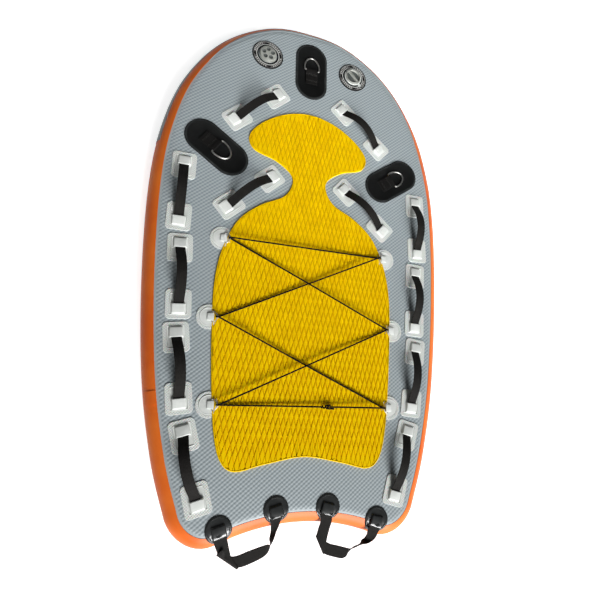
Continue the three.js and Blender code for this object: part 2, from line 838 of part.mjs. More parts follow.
// Stem with a poppet below the seat and a button on top
function plungerGeometry(top) {
  return revolve(
    [
      [0, -46],
      [13.5, -46],
      [13.5, -43],
      [10, -40.4],
      [3.5, -40.4],
      [3.5, top - 3],
      [6.5, top - 3],
      [6.5, top],
      [0, top],
    ],
    12,
  );
}

function springGeometry(low, high) {
  const turns = 4;
  const steps = turns * 6;
  const points = [];
  for (let i = 0; i <= steps; i += 1) {
    const angle = (i / steps) * turns * Math.PI * 2;
    const z = low + ((high - low) * i) / steps;
    points.push(new THREE.Vector3(5.3 * Math.cos(angle), 5.3 * Math.sin(angle), z));
  }
  const section = new THREE.Shape();
  section.absarc(0, 0, 0.7, 0, Math.PI * 2, false);
  const coil = new THREE.ExtrudeGeometry(section, {
    curveSegments: 2,
    steps,
    extrudePath: new PointedCurve(points, false, 'centripetal'),
  });
  return surface(solid(coil));
}

// Cap of the inflation valve: a dished disc with a bar to grip across it, and a plug below
function inflationCap() {
  const disk = revolve(
    [
      [0, 3 + GAP],
      [10, 3 + GAP],
      [10, -2],
      [14.4, -2],
      [14.4, 3 + GAP],
      [29, 3 + GAP],
      [30.5, 4.5],
      [30.5, 9],
      [29, 10.2],
      [0, 10.2],
    ],
    VALVE.segments,
  );
  const dish = disc(25, 5.6, 12, 0, 0, VALVE.segments).subtract(block(60, 11, 5, 13));
  return surface(solid(disk).subtract(dish));
}

// Loose ring round the cap's neck with a tongue that is welded to the collar
function tetherGeometry() {
  const ring = revolve(
    [
      [31.4, 3.6],
      [34.4, 3.6],
      [34.4, 6],
      [31.4, 6],
      [31.4, 3.6],
    ],
    VALVE.segments,
  );
  const tongue = block(20, 11, 3.6, 5.6, 43, 0).add(block(7, 11, GAP + 1.8, 5.6, 49.5, 0));
  return surface(solid(ring).add(tongue));
}

// Top of the relief valve: a disc with five finger pockets, and vents through each
function reliefCap() {
  const disk = revolve(
    [
      [0, 3 + GAP],
      [29, 3 + GAP],
      [30.5, 4.5],
      [30.5, 8],
      [29, 9.4],
      [0, 9.4],
    ],
    VALVE.segments,
  );
  let made = solid(disk);
  for (let i = 0; i < 5; i += 1) {
    const angle = (i / 5) * Math.PI * 2 + Math.PI / 2;
    const [x, y] = [Math.cos(angle), Math.sin(angle)];
    made = made.subtract(disc(6.6, 5.4, 12, 18 * x, 18 * y, 8));
    made = made.subtract(disc(2, 0, 12, 13.2 * x, 13.2 * y, 5));
  }
  return surface(made);
}

function buildValves() {
  const collar = collarGeometry();
  const inflation = group(VALVE.x, VALVE.y, DECK);
  piece('inflation_collar', collar, FINISH.collar, inflation);
  piece('inflation_body', valveBody(-22), FINISH.valve, inflation);
  piece('inflation_plunger', plungerGeometry(-4), FINISH.valve, inflation);
  piece('inflation_spring', springGeometry(-21, -8), FINISH.steel, inflation);
  const capPlace = new THREE.Group();
  capPlace.rotation.z = THREE.MathUtils.degToRad(-48);
  inflation.add(capPlace);
  piece('inflation_cap', inflationCap(), FINISH.valve, capPlace);
  piece('inflation_tether', tetherGeometry(), FINISH.patch, capPlace);
  const relief = group(-VALVE.x, VALVE.y, DECK);
  piece('relief_collar', collar, FINISH.collar, relief);
  piece('relief_body', valveBody(-8), FINISH.valve, relief);
  piece('relief_cap', reliefCap(), FINISH.valve, relief);
  const poppet = revolve(
    [
      [0, -35.7],
      [13.5, -35.7],
      [13.5, -33],
      [7, -32],
      [3.5, -32],
      [3.5, -3],
      [0, -3],
    ],
    12,
  );
  piece('relief_poppet', poppet, FINISH.rubber, relief);
  piece('relief_spring', springGeometry(-31, -13), FINISH.steel, relief);
}

buildHull();
buildPad();
buildHandles();
buildTowPoints();
buildSternPatches();
buildSternLoops();
buildAnchors();
buildCord();
buildValves();

// The origin is under the middle of the finished sled
const extent = new THREE.Box3().setFromObject(sled, true);
sled.position.y = -(extent.min.y + extent.max.y) / 2;
sled.position.z = -extent.min.z;

const part = new THREE.Group();
part.add(sled);
export default part;
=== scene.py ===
# %% [markdown]
# # An inflatable rescue sled
# The sled lies on a studio floor and is seen from above, off its port quarter.
# It is built in the order in which a maker sees it: hull, foam pad, handles, tow rings,
# stern loops, bungee lacing and valves.
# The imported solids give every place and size. Each piece made here stands for one of them.

# %% Load the frame
import math

import bmesh
import bpy
from mathutils import Euler, Matrix, Vector, geometry
from mathutils.bvhtree import BVHTree


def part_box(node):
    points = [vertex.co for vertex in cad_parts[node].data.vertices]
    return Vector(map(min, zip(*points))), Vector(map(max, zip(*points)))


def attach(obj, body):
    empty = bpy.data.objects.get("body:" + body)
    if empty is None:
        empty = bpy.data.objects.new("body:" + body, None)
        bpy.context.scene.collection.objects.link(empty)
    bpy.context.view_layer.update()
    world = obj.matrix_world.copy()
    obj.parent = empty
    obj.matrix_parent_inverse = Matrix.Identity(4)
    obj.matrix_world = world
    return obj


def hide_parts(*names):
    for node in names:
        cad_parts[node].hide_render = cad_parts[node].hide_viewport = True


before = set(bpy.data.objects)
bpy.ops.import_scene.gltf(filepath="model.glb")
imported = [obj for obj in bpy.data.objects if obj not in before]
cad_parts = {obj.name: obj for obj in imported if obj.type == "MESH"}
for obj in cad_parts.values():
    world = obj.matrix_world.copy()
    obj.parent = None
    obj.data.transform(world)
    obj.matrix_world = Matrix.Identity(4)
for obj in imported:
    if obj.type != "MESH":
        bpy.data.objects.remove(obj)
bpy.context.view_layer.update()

# %% [markdown]
# ## Places on the board
# A maker measures along a board from one mark. Here it is the middle pair of bungee patches,
# with x to starboard, y to the nose and heights from the floor, all in millimetres.
# The solids sit with their own middle at the origin, so one offset carries a place over.

# %% From board millimetres to metres
MM = 0.001
DECK = 100.0
TOW_Y = 951.0
VALVE_X, VALVE_Y, VALVE_BORE = 167.5, 974.2, 20.6
low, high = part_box("tow_patch_centre")
SHIFT = (low.y + high.y) / 2 - TOW_Y * MM


def at(x, y, z=DECK):
    return Vector((x * MM, y * MM + SHIFT, z * MM))


print("offset along the board:", round(SHIFT / MM, 2), "mm")

# %% [markdown]
# ## Camera
# The photograph looks down on the board from beyond its port side, with a fairly wide lens.
# The nose is far away and leans to the right, so the camera is rolled a little.

# %% Camera
def show(name, data):
    """An object in the scene."""
    made = bpy.data.objects.new(name, data)
    bpy.context.scene.collection.objects.link(made)
    return made


camera_data = bpy.data.cameras.new("camera")
camera_data.sensor_width = 36.0
camera_data.lens = 25.82
camera_data.clip_end = 50.0
camera = show("camera", camera_data)
camera.location = at(-446.36, -232.547, 1397.35)
camera.rotation_euler = [math.radians(a) for a in (12.4181, -18.3686, 1.4073)]
bpy.context.scene.camera = camera
print("camera is", round(camera.location.z, 2), "m above the floor")

# %% [markdown]
# ## Materials
# Every colour is written as an sRGB hex value, the form in which a designer picks it.
# The shader wants linear light, so one function turns it over.
# One more function adds a node and sets or links its sockets.


# %% Helpers for materials
def linear(code, alpha=1.0):
    channels = [int(code[i : i + 2], 16) / 255 for i in (1, 3, 5)]
    bright = [c / 12.92 if c <= 0.04045 else ((c + 0.055) / 1.055) ** 2.4 for c in channels]
    return (*bright, alpha)


def add(material, kind, inputs=None, **settings):
    """Adds a node; an input is a value, or a socket to link from."""
    tree = material.node_tree
    node = tree.nodes.new(kind)
    for name, value in settings.items():
        setattr(node, name, value)
    for name, value in (inputs or {}).items():
        socket = node.inputs[name]
        if isinstance(value, bpy.types.NodeSocket):
            tree.links.new(value, socket)
        else:
            socket.default_value = value
    return node


def shader_of(material):
    return material.node_tree.nodes["Principled BSDF"]


def link(material, source, socket):
    material.node_tree.links.new(source, shader_of(material).inputs[socket])


def math_node(material, operation, first, second=0.0):
    given = {0: first, 1: second}
    return add(material, "ShaderNodeMath", given, operation=operation).outputs[0]


def two_tone(material, value, shades, positions=(0.0, 1.0)):
    """Colours the surface from the first shade to the second as a value rises from 0 to 1."""
    ramp = add(material, "ShaderNodeValToRGB", {"Fac": value})
    for element, position, color in zip(ramp.color_ramp.elements, positions, shades):
        element.position = position
        element.color = linear(color)
    link(material, ramp.outputs["Color"], "Base Color")


def place_of(material, kind="Object"):
    return add(material, "ShaderNodeTexCoord").outputs[kind]


def noise(material, scale, detail):
    given = {"Vector": place_of(material), "Scale": scale, "Detail": detail}
    return add(material, "ShaderNodeTexNoise", given).outputs["Fac"]


def new_material(name, color, roughness, shades=None, size_mm=0.0, **sockets):
    """A Principled material.

    Two near shades make it vary slowly, over a size, as dirt and handling leave it."""
    material = bpy.data.materials.new(name)
    material.use_nodes = True
    inputs = shader_of(material).inputs
    inputs["Base Color"].default_value = linear(color)
    inputs["Roughness"].default_value = roughness
    for socket, value in sockets.items():
        inputs[socket.replace("_", " ")].default_value = value
    if shades:
        two_tone(material, noise(material, 1 / (size_mm * MM), 4.0), shades, (0.35, 0.65))
    return material


def bump(material, height, depth_mm, strength):
    given = {"Height": height, "Distance": depth_mm * MM, "Strength": strength}
    link(material, add(material, "ShaderNodeBump", given).outputs["Normal"], "Normal")


def spread(material, value, reach):
    """Turns a value that swings between -reach and reach into one from 0 to 1."""
    given = {"Value": value, "From Min": -reach, "From Max": reach}
    return add(material, "ShaderNodeMapRange", given).outputs[0]


def lattice(material, pitch_mm, first_deg, second_deg, second=1.0):
    """Two crossed waves, each running in its own direction, the second one weaker if wanted."""
    waves, place = [], place_of(material)
    for degrees, weight in ((first_deg, 1.0), (second_deg, second)):
        turn = math.radians(degrees)
        given = {0: place, 1: (math.cos(turn), math.sin(turn), 0)}
        along = add(material, "ShaderNodeVectorMath", given, operation="DOT_PRODUCT")
        turns = 2 * math.pi / (pitch_mm * MM)
        phase = math_node(material, "MULTIPLY", along.outputs["Value"], turns)
        wave = math_node(material, "SINE", phase)
        waves.append(math_node(material, "MULTIPLY", wave, weight))
    return math_node(material, "ADD", *waves)


def yarn_material(name, color, shades, along_mm, across_mm, roughness, shine, depth_mm):
    """Yarns cross on the piece's own UV map, in millimetres: u across, v along."""
    material = new_material(name, color, roughness, Specular_IOR_Level=shine)
    parts = add(material, "ShaderNodeSeparateXYZ", {0: place_of(material, "UV")})
    along = math_node(material, "MULTIPLY", parts.outputs["Y"], 2 * math.pi / along_mm)
    across = math_node(material, "MULTIPLY", parts.outputs["X"], 2 * math.pi / across_mm)
    leans = (math_node(material, kind, along, across) for kind in ("ADD", "SUBTRACT"))
    yarn = math_node(material, "MAXIMUM", *(math_node(material, "SINE", a) for a in leans))
    two_tone(material, spread(material, yarn, 1.0), shades)
    bump(material, yarn, depth_mm, 0.8)
    return material


print("material helpers ready")

# %% [markdown]
# ### Coated fabric
# The hull is polyester fabric coated with PVC. The deck carries an embossed grip pattern
# that repeats every 9.65 mm and is stronger in one direction. The side tape and the rim of
# the deck are smooth and take a soft shine.

# %% Hull materials
deck_pvc = new_material("embossed_pvc_deck", "#a4aeb1", 0.5)
grip = lattice(deck_pvc, 9.65, 129.5, 51.0, 0.5)
bump(deck_pvc, grip, 0.5, 0.35)
# Painted shade and highlight: the colour follows the emboss, darker in its hollows and lighter on
# its ridges
two_tone(deck_pvc, spread(deck_pvc, grip, 1.5), ("#859094", "#b1babd"), (0.1, 0.9))

# The same coated fabric without the emboss
smooth_pvc = new_material("smooth_pvc_rim", "#a3adb1", 0.42, ("#a0abaf", "#acb5b8"), 90)

# Tape of PVC on a plain weave, drawn at 3 mm, which is coarser than the real one
shades = "#e8661a", "#f57c28"
orange_pvc = new_material("orange_pvc_tape", "#f06a1c", 0.48, shades, 160, Specular_IOR_Level=0.3)
bump(orange_pvc, lattice(orange_pvc, 3.0, 0.0, 90.0), 0.05, 0.5)

# A thicker, darker PVC strip that takes the rubbing at the nose
guard_pvc = new_material("dark_pvc_rub_strip", "#5d6468", 0.45, ("#565d61", "#666d70"), 60)

# Uncoated polyester cloth inside the panel, its threads drawn coarser than the real ones
base_cloth = new_material("polyester_base_cloth", "#d6d5cd", 0.85, ("#cfcec6", "#dddcd5"), 30)
bump(base_cloth, lattice(base_cloth, 1.2, 0.0, 90.0), 0.15, 0.8)
print("hull materials:", deck_pvc.name, smooth_pvc.name, orange_pvc.name)

# %% [markdown]
# ### Closed-cell foam
# EVA foam is matt, with a fine skin that looks slightly sandy from close by.

# %% Foam material
dull = {"Specular_IOR_Level": 0.04}
foam = new_material("yellow_eva_foam", "#e8bf00", 0.9, ("#f0c400", "#f8cf00"), 45, **dull)
bump(foam, noise(foam, 700.0, 2.0), 0.25, 0.6)

# Painted shade: the floors of the grooves take a darker copy of the foam, for the shade that falls
# in them
groove_shades = "#d0a600", "#dab000"
groove_shade_foam = new_material("eva_foam_painted_groove_shade", "#c69a00", 0.9, groove_shades, 30, **dull)
print("foam materials:", foam.name, groove_shade_foam.name)

# %% [markdown]
# ## Mesh helpers
# A new piece starts as a bmesh and is shaped with Blender's own operators.
# `to_mesh` gives it materials and soft shading, and `put` makes it an object that rides on
# a body and stands for a solid.


# %% Helpers for pieces
def plain_mesh(bm, name):
    data = bpy.data.meshes.new(name)
    bm.normal_update()
    bm.to_mesh(data)
    bm.free()
    return data


def dress(data, materials, crease):
    """Gives a mesh its materials and smooths it up to a crease angle in degrees."""
    for material in materials:
        data.materials.append(material)
    data.shade_smooth()
    data.set_sharp_from_angle(angle=math.radians(crease))
    return data


def to_mesh(bm, name, materials, crease=35.0):
    return dress(plain_mesh(bm, name), materials, crease)


def put(name, data, node, slot, body="sled", place=None):
    """Makes a piece of a mesh, after a move to its place, and fastens it."""
    if place is not None:
        data.transform(place)
    piece = show(name, data)
    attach(piece, body)
    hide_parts(node)
    return piece


def largest(faces):
    return max(faces, key=lambda f: f.calc_area())


def paint(faces, index, where=None):
    """Gives a material to the faces, or only to those whose middle passes a test."""
    for face in faces:
        if where is None or where(face.calc_center_median()):
            face.material_index = index


def soften(bm, edges, offset, segments):
    """Rounds edges; the new faces take the material beside them."""
    bmesh.ops.bevel(
        bm, geom=edges, offset=offset, segments=segments, profile=0.5, affect="EDGES", material=-1
    )


def smooth_run(points, step, closed=False):
    """A Catmull-Rom run through points, without the last one."""
    count, made = len(points), []
    for i in range(count if closed else count - 1):
        a, b = points[i], points[(i + 1) % count]
        before = points[i - 1] if closed or i else a
        after = points[(i + 2) % count] if closed or i + 2 < count else b
        handles = a + (b - before) / 6, b - (after - a) / 6
        steps = max(2, round((b - a).length / step))
        made += geometry.interpolate_bezier(a, *handles, b, steps + 1)[:-1]
    return made


def counted_run(points, counts):
    """A run with a given count of steps between points, and bends that suit each span."""
    made, last = [], len(points) - 1
    for i, steps in enumerate(counts):
        a, b = points[i], points[i + 1]
        reach = (b - a).length / 3
        start = (b - points[max(i - 1, 0)]).normalized() * reach
        end = (points[min(i + 2, last)] - a).normalized() * reach
        made += geometry.interpolate_bezier(a, a + start, b - end, b, steps + 1)[:-1]
    return made + [points[-1]]


def flat(points):
    return [Vector((p[0], p[1])) for p in points]


def outward(points):
    """Unit normals of a closed outline that runs anticlockwise."""
    normals = []
    for i in range(len(points)):
        run = points[(i + 1) % len(points)] - points[i - 1]
        normals.append(Vector((run.y, -run.x)).normalized())
    return normals


def outline_face(bm, points, z):
    """One face whose corners remember their station along the outline."""
    station = bm.verts.layers.int.get("station") or bm.verts.layers.int.new("station")
    corners = []
    for i, point in enumerate(points):
        corner = bm.verts.new(at(point.x, point.y, z))
        corner[station] = i
        corners.append(corner)
    return bm.faces.new(corners), station


def step_out(bm, edges, station, points, normals, ring):
    """Extrudes edges to a ring, a (distance, height) for each station of an outline."""
    made = bmesh.ops.extrude_edge_only(bm, edges=edges)["geom"]
    fresh = {g for g in made if isinstance(g, bmesh.types.BMVert)}
    for vert in fresh:
        i = vert[station]
        distance, z = ring[i]
        spot = points[i] + normals[i] * distance
        vert.co = at(spot.x, spot.y, z)
    outer = [g for g in made if isinstance(g, bmesh.types.BMEdge) and set(g.verts) <= fresh]
    return outer, [g for g in made if isinstance(g, bmesh.types.BMFace)]


def grow_rim(bm, edges, station, points, normals, rings):
    """Extrudes a rim outwards through rings of (distance, height); returns the last edges."""
    new_faces = []
    for ring in rings:
        edges, faces = step_out(bm, edges, station, points, normals, [ring] * len(points))
        new_faces.append(faces)
    return edges, new_faces


print("mesh helpers ready")

# %% [markdown]
# ## Hull
# The board is a drop-stitch panel: two flat cloths held 100 mm apart by threads.
# Pressure rounds its side wall, and the stern is cut to a hollow arc.
# The outline runs through a few stations of half width, and the wall is a quarter round
# that starts 19 mm inside the edge and bulges 38 mm outside it.

# %% Outline of the deck
BULGE, ROLL, FLAT = 38.0, 19.0, 2.0
STERN_RADIUS, STERN_CENTRE_Y, STERN_HALF = 707.0, -1264.0, 262.0
NOSE = Vector((0, 1105))
SIDE = [(403, -400), (447, -180), (476, 110), (485.5, 400)]
SIDE += [(468, 612), (412.5, 809), (302.5, 978), (150, 1082)]
CORNER = [(357, -545), (345, -588), (297, -621)]


def deck_edge():
    """The whole edge, anticlockwise from the port end of the hollow stern."""
    rise = math.sqrt(STERN_RADIUS**2 - STERN_HALF**2)
    centre = Vector((0, STERN_CENTRE_Y))
    half_angle = math.asin(STERN_HALF / STERN_RADIUS)
    steps = 60
    arc = [
        centre + STERN_RADIUS * Vector((math.sin(a), math.cos(a)))
        for a in (half_angle * (2 * i / steps - 1) for i in range(steps))
    ]
    start = Vector((STERN_HALF, STERN_CENTRE_Y + rise))
    side_end, near_side, near_stern = (Vector(p) for p in CORNER)
    turn = geometry.interpolate_bezier(start, near_stern, near_side, side_end, 13)[:-1]
    half = [side_end] + [Vector(p) for p in SIDE]
    flip = Matrix(((-1, 0), (0, 1)))
    round_nose = flat(smooth_run(half + [NOSE] + [flip @ p for p in reversed(half)], 9.0))
    other = [flip @ side_end] + [flip @ p for p in flat(reversed(turn))][:-1]
    return arc + flat(turn) + round_nose + other


edge = deck_edge()
edge_normals = outward(edge)
flat_edge = [p - n * ROLL for p, n in zip(edge, edge_normals)]
print("deck edge:", len(edge), "stations")


# %% [markdown]
# The wall's section is a quarter ellipse. Walking its angle from 0 at the flat deck
# to 90 degrees at the widest point gives rings that the rim is extruded through.


# %% Deck, side tape and bottom
def wall(angle, proud=0.0):
    """Distance outside the deck edge and height, at an angle down from the deck."""
    a = math.radians(angle)
    side, tall = BULGE + ROLL + proud, (DECK - FLAT) / 2 + proud
    z = DECK / 2 + (FLAT / 2 if angle <= 90 else -FLAT / 2) + tall * math.cos(a)
    return side * math.sin(a) - ROLL, z


SEAM, SKIN, CREASE, ROW_DEG = 22.5, 1.1, math.radians(35), 5.6


def applied(piece):
    """The mesh of an object with its modifiers carried out."""
    depsgraph = bpy.context.evaluated_depsgraph_get()
    return bpy.data.meshes.new_from_object(piece.evaluated_get(depsgraph))


def thicken(piece, thickness_mm):
    """Gives a sheet its thickness inwards as real faces, with sharp cut edges."""
    shell = piece.modifiers.new("thickness", "SOLIDIFY")
    shell.thickness = thickness_mm * MM
    shell.offset = -1.0
    shell.use_even_offset = False
    piece.data = applied(piece)
    piece.modifiers.clear()
    piece.data.set_sharp_from_angle(angle=CREASE)
    return piece


def cap(name, top, node, materials):
    """The deck or the bottom: a flat face with the first part of the round wall."""
    bm = bmesh.new()
    face, station = outline_face(bm, flat_edge, DECK if top else 0.0)
    rings = [wall(SEAM * k / 5) for k in range(1, 6)]
    if not top:
        rings = [(d, DECK - z) for d, z in rings]
    _, faces = grow_rim(bm, list(face.edges), station, edge, edge_normals, rings)
    for ring in faces[3:]:
        paint(ring, 1)
    bmesh.ops.recalc_face_normals(bm, faces=bm.faces)
    if (face.normal.z > 0) != top:
        bmesh.ops.reverse_faces(bm, faces=bm.faces)
    bmesh.ops.triangulate(bm, faces=[face], ngon_method="EAR_CLIP")
    return thicken(put(name, to_mesh(bm, name, materials, 40), node, "pvc_grey"), SKIN)


def band(name, from_angle, to_angle, proud, thickness, material, node, slot, keep=None):
    """A run of side wall between two angles, at the points of the deck edge that keep allows.

    The second angle may be a function of the point."""
    bm = bmesh.new()
    station = bm.verts.layers.int.new("station")
    distance, z = wall(from_angle, proud)
    stations = [i for i, p in enumerate(edge) if keep is None or keep(p)]
    verts = {}
    for i in stations:
        spot = edge[i] + edge_normals[i] * distance
        verts[i] = bm.verts.new(at(spot.x, spot.y, z))
        verts[i][station] = i
    edges = []
    for i in stations:
        after = (i + 1) % len(edge)
        if after in verts:
            edges.append(bm.edges.new((verts[i], verts[after])))
    last = [to_angle(p) if callable(to_angle) else to_angle for p in edge]
    steps = max(2, round((max(last) - from_angle) / ROW_DEG))
    for k in range(1, steps + 1):
        ring = [wall(from_angle + (a - from_angle) * k / steps, proud) for a in last]
        edges, _ = step_out(bm, edges, station, edge, edge_normals, ring)
    bmesh.ops.recalc_face_normals(bm, faces=bm.faces)
    middle = bm.faces[:][len(bm.faces) // 2]
    away = middle.calc_center_median() - at(0, 250, DECK / 2)
    if middle.normal.dot(away) < 0:
        bmesh.ops.reverse_faces(bm, faces=bm.faces)
    return thicken(put(name, to_mesh(bm, name, [material], 40), node, slot), thickness)


def nose_turn(p):
    """Where the deck skin ends at the nose: it reaches down further ahead of the shoulder."""
    shoulder = 900 if p.x < 0 else 760
    return 20.5 + 9.0 * min(1.0, max(0.0, (p.y - shoulder) / 150))


deck = cap("deck_skin_pvc", True, "deck_skin", [deck_pvc, smooth_pvc])
bottom = cap("bottom_skin_pvc", False, "bottom_skin", [smooth_pvc, smooth_pvc])
orange = orange_pvc, "rail_band", "pvc_orange"
grey = guard_pvc, "bow_guard", "pvc_grey"
tape = band("side_tape", SEAM - 0.8, 180.8 - SEAM, 0.5, 1.4, *orange)
guard = band("bow_rub_strip", 52.0, 137.0, 1.7, 1.2, *grey, lambda p: p.y > 560)
upper = band("upper_side_tape", 20.5, 60.0, 1.0, 0.7, *orange)

# The ends of the tape overlap on the port side
lap = band("tape_lap", 21.0, 59.0, 2.2, 1.2, *orange, lambda p: p.x < 0 and -262 < p.y < -218)

# At the nose the deck skin is drawn further over the edge, so less tape shows from above
grey = smooth_pvc, "deck_skin", "pvc_grey"
nose = band(
    "nose_lap", 20.0, nose_turn, 1.2, 0.9, *grey, lambda p: p.y > (890 if p.x < 0 else 750)
)
print("hull:", ", ".join(p.name for p in (deck, bottom, tape, guard, upper, lap, nose)))


# %% Drop-stitch panel
def carve(data, cutters):
    """Cuts every cutter out of a mesh and returns the cut mesh."""
    whole, tool = show("whole", data), show("tool", cutters)
    cut = whole.modifiers.new("cut", "BOOLEAN")
    cut.operation, cut.solver, cut.object = "DIFFERENCE", "EXACT", tool
    result = applied(whole)
    for made in (whole, tool):
        bpy.data.objects.remove(made)
    return result


def valve_bores(middle, depth):
    """Two upright cylinders on the axes of the valves, as cutters."""
    bores = bmesh.new()
    size = {"radius1": VALVE_BORE * MM, "radius2": VALVE_BORE * MM, "depth": depth * MM}
    for x in (-VALVE_X, VALVE_X):
        spot = Matrix.Translation(at(x, VALVE_Y, middle))
        bmesh.ops.create_cone(bores, cap_ends=True, segments=32, matrix=spot, **size)
    return plain_mesh(bores, "bores")


def stitched_panel():
    """The solid between the skins, 1.6 mm inside them, with two bores for the valves."""
    inset = -1.6
    bm = bmesh.new()
    face, station = outline_face(bm, flat_edge, DECK + inset)
    rings = [wall(a, inset) for a in range(15, 181, 15)]
    last, _ = grow_rim(bm, list(face.edges), station, edge, edge_normals, rings)
    bottom_face = bmesh.ops.edgeloop_fill(bm, edges=last)["faces"]
    bmesh.ops.triangulate(bm, faces=[face] + bottom_face, ngon_method="EAR_CLIP")
    bmesh.ops.recalc_face_normals(bm, faces=bm.faces)
    panel = carve(plain_mesh(bm, "panel"), valve_bores(84.0, 80.0))
    return dress(panel, [base_cloth], 40)


core = put("drop_stitch_panel", stitched_panel(), "drop_stitch_core", "drop_stitch")

# The valves pass through the deck skin too
deck.data = carve(deck.data, valve_bores(DECK, 20.0))
deck.data.set_sharp_from_angle(angle=CREASE)
print("panel:", len(core.data.polygons), "faces, deck skin:", len(deck.data.polygons), "faces")

# %% [markdown]
# ## Foam pad
# The pad is 5 mm EVA sheet, cut to a head and shoulders outline, with a bevelled rim.
# A lattice of diamonds, 16 mm wide and 57 mm long, is pressed into it; the sheet was cut
# with the lattice 2 degrees off its length.
# Cutting the sunken field with two families of planes gives the diamonds. Each one is inset
# and raised in three steps, so that a pillow stands up and a groove is left between neighbours.

# %% Foam pad
PAD_TOP, PAD_BOTTOM = Vector((0, 766)), Vector((0, -405))
PAD_SIDE = [(95, 745), (175, 694), (218, 636), (200, 586), (123, 558), (70, 520)]
PAD_SIDE += [(62, 480), (92, 430), (171, 386), (240, 322), (283, 225), (302, 115)]
PAD_SIDE += [(301, -20), (291, -190), (276, -330), (252, -412), (209, -442), (120, -424)]
PAD_THICKNESS, PAD_BEVEL, GROOVE = 5.3, 2.4, 2.6
DIAMOND_WIDE, DIAMOND_LONG, SHEET_TURN = 16.2, 56.8, -2.2


def build_pad():
    side = [Vector(p) for p in PAD_SIDE]
    port = [Vector((-p.x, p.y)) for p in side]
    rim = flat(smooth_run([PAD_BOTTOM] + side[::-1] + [PAD_TOP] + port, 8.0, closed=True))
    normals = outward(rim)
    bm = bmesh.new()
    inner = [p - n * (PAD_BEVEL + 1.6) for p, n in zip(rim, normals)]
    top = DECK + PAD_THICKNESS
    field_z = top - GROOVE
    face, station = outline_face(bm, inner, field_z)
    face.material_index = 1
    border = [(-(PAD_BEVEL + 0.8), top), (-PAD_BEVEL, top)]
    border += [(-PAD_BEVEL * 0.45, top - 0.5), (0.0, top - 2.2), (0.0, DECK + 0.2)]
    grow_rim(bm, list(face.edges), station, rim, normals, border)
    field = [face] + list(face.edges) + list(face.verts)
    side_length = math.hypot(DIAMOND_WIDE, DIAMOND_LONG)
    pitch = DIAMOND_WIDE * DIAMOND_LONG / side_length
    for lean in (1, -1):
        normal = Vector((DIAMOND_LONG, lean * DIAMOND_WIDE, 0)).normalized()
        normal.rotate(Euler((0, 0, math.radians(SHEET_TURN))))
        level = [v.co for v in bm.verts if abs(v.co.z - field_z * MM) < 1e-6]
        reach = [normal.dot(co) / MM for co in level]
        first, last = math.floor(min(reach) / pitch), math.ceil(max(reach) / pitch)
        for k in range(first, last + 1):
            plane = {"plane_co": normal * k * pitch * MM, "plane_no": normal}
            field = bmesh.ops.bisect_plane(bm, geom=field, dist=1e-6, **plane)["geom"]
    bm.normal_update()
    diamonds = [f for f in bm.faces if abs(f.calc_center_median().z - field_z * MM) < 1e-5]
    full = 0.5 * DIAMOND_WIDE * DIAMOND_LONG * MM * MM
    whole = [f for f in diamonds if len(f.verts) == 4 and f.calc_area() > 0.99 * full]
    rest = set(diamonds) - set(whole)
    part = [f for f in rest if 2 * f.calc_area() / f.calc_perimeter() > 2 * MM]
    for faces, even, steps in (
        (part, False, ((0.5, 0.0), (0.5, 1.9), (0.5, 0.5))),
        (whole, True, ((1.0, 0.0), (0.8, 2.3), (0.9, 0.25), (1.5, 0.05))),
    ):
        for width, rise in steps:
            size = {"thickness": width * MM, "depth": rise * MM}
            bmesh.ops.inset_individual(bm, faces=faces, use_even_offset=even, **size)
    bm.normal_update()
    # Painted shade: faces low in the grooves take the darker foam, the rest take the plain foam
    for face in bm.faces:
        low = max(v.co.z for v in face.verts) < (field_z + 0.1) * MM and face.normal.z > 0.9
        face.material_index = 1 if low else 0
    return bm, len(whole)


pad_mesh, diamond_count = build_pad()
pad_data = to_mesh(pad_mesh, "foam_pad", [foam, groove_shade_foam], 30)
put("foam_pad", pad_data, "traction_pad", "eva_yellow")
print("foam pad:", diamond_count, "diamonds")

# %% [markdown]
# ### Moulded plastic and webbing
# Handle patches are clear-white PVC, moulded in one shot with a knurled rim, so light goes
# a little way in and the edges look bright. The straps are black polyester webbing, a twill
# of fine ribs that lean both ways, drawn a little coarser than it is.

# %% Materials for patches and straps
# Clear-white PVC, moulded smooth
milky = {"Subsurface_Weight": 0.15, "Subsurface_Scale": 0.003}
shades = "#d3d7d2", "#e0e3df"
clear_pvc = new_material("clear_moulded_pvc", "#cbcfca", 0.3, shades, 30, **milky)
shader_of(clear_pvc).inputs["Subsurface Radius"].default_value = (1.0, 1.0, 0.9)

# The same PVC where the mould is knurled, drawn at 5.5 mm, coarser than the real knurl
knurled_pvc = new_material("knurled_moulded_pvc", "#d4d8d3", 0.36, **milky)
knurl = lattice(knurled_pvc, 5.5, 45.0, 135.0)
bump(knurled_pvc, knurl, 0.45, 0.4)
# Painted shade and highlight: the colour follows the knurl, darker in its hollows and lighter on
# its ridges
two_tone(knurled_pvc, spread(knurled_pvc, knurl, 2.0), ("#c2c7c2", "#e9ece8"))

# Painted light: the raised tunnels and tabs take a lighter copy of the patch PVC, for the light
# they catch
tunnel_light_pvc = new_material("pvc_tunnel_painted_light", "#ced2cd", 0.26, ("#d9ddd8", "#e6e9e5"), 24)

# Polyester webbing, its ribs drawn 2 mm apart along the strap and 2.4 mm across it
colors = "#10100f", ("#10100f", "#23211f")
webbing = yarn_material("black_polyester_webbing", *colors, 2.0, 2.4, 0.75, 0.15, 0.3)
print("materials:", clear_pvc.name, knurled_pvc.name, webbing.name)

# %% [markdown]
# ## Grab handles
# Each handle is two moulded patches, welded flat to the deck, and one webbing strap.
# The strap is welded inside a tunnel on the outer half of each patch and arches between them.
# A patch is one rounded plate whose top is inset again and again: rim, ridge, sunken panel.

# %% Helpers for plates, straps and placing
def turned(x, y, heading, z=DECK):
    """Carries a piece made at the origin in millimetres to its place, turned to a heading."""
    return Matrix.Translation(at(x, y, z)) @ Matrix.Rotation(heading, 4, "Z") @ Matrix.Scale(MM, 4)


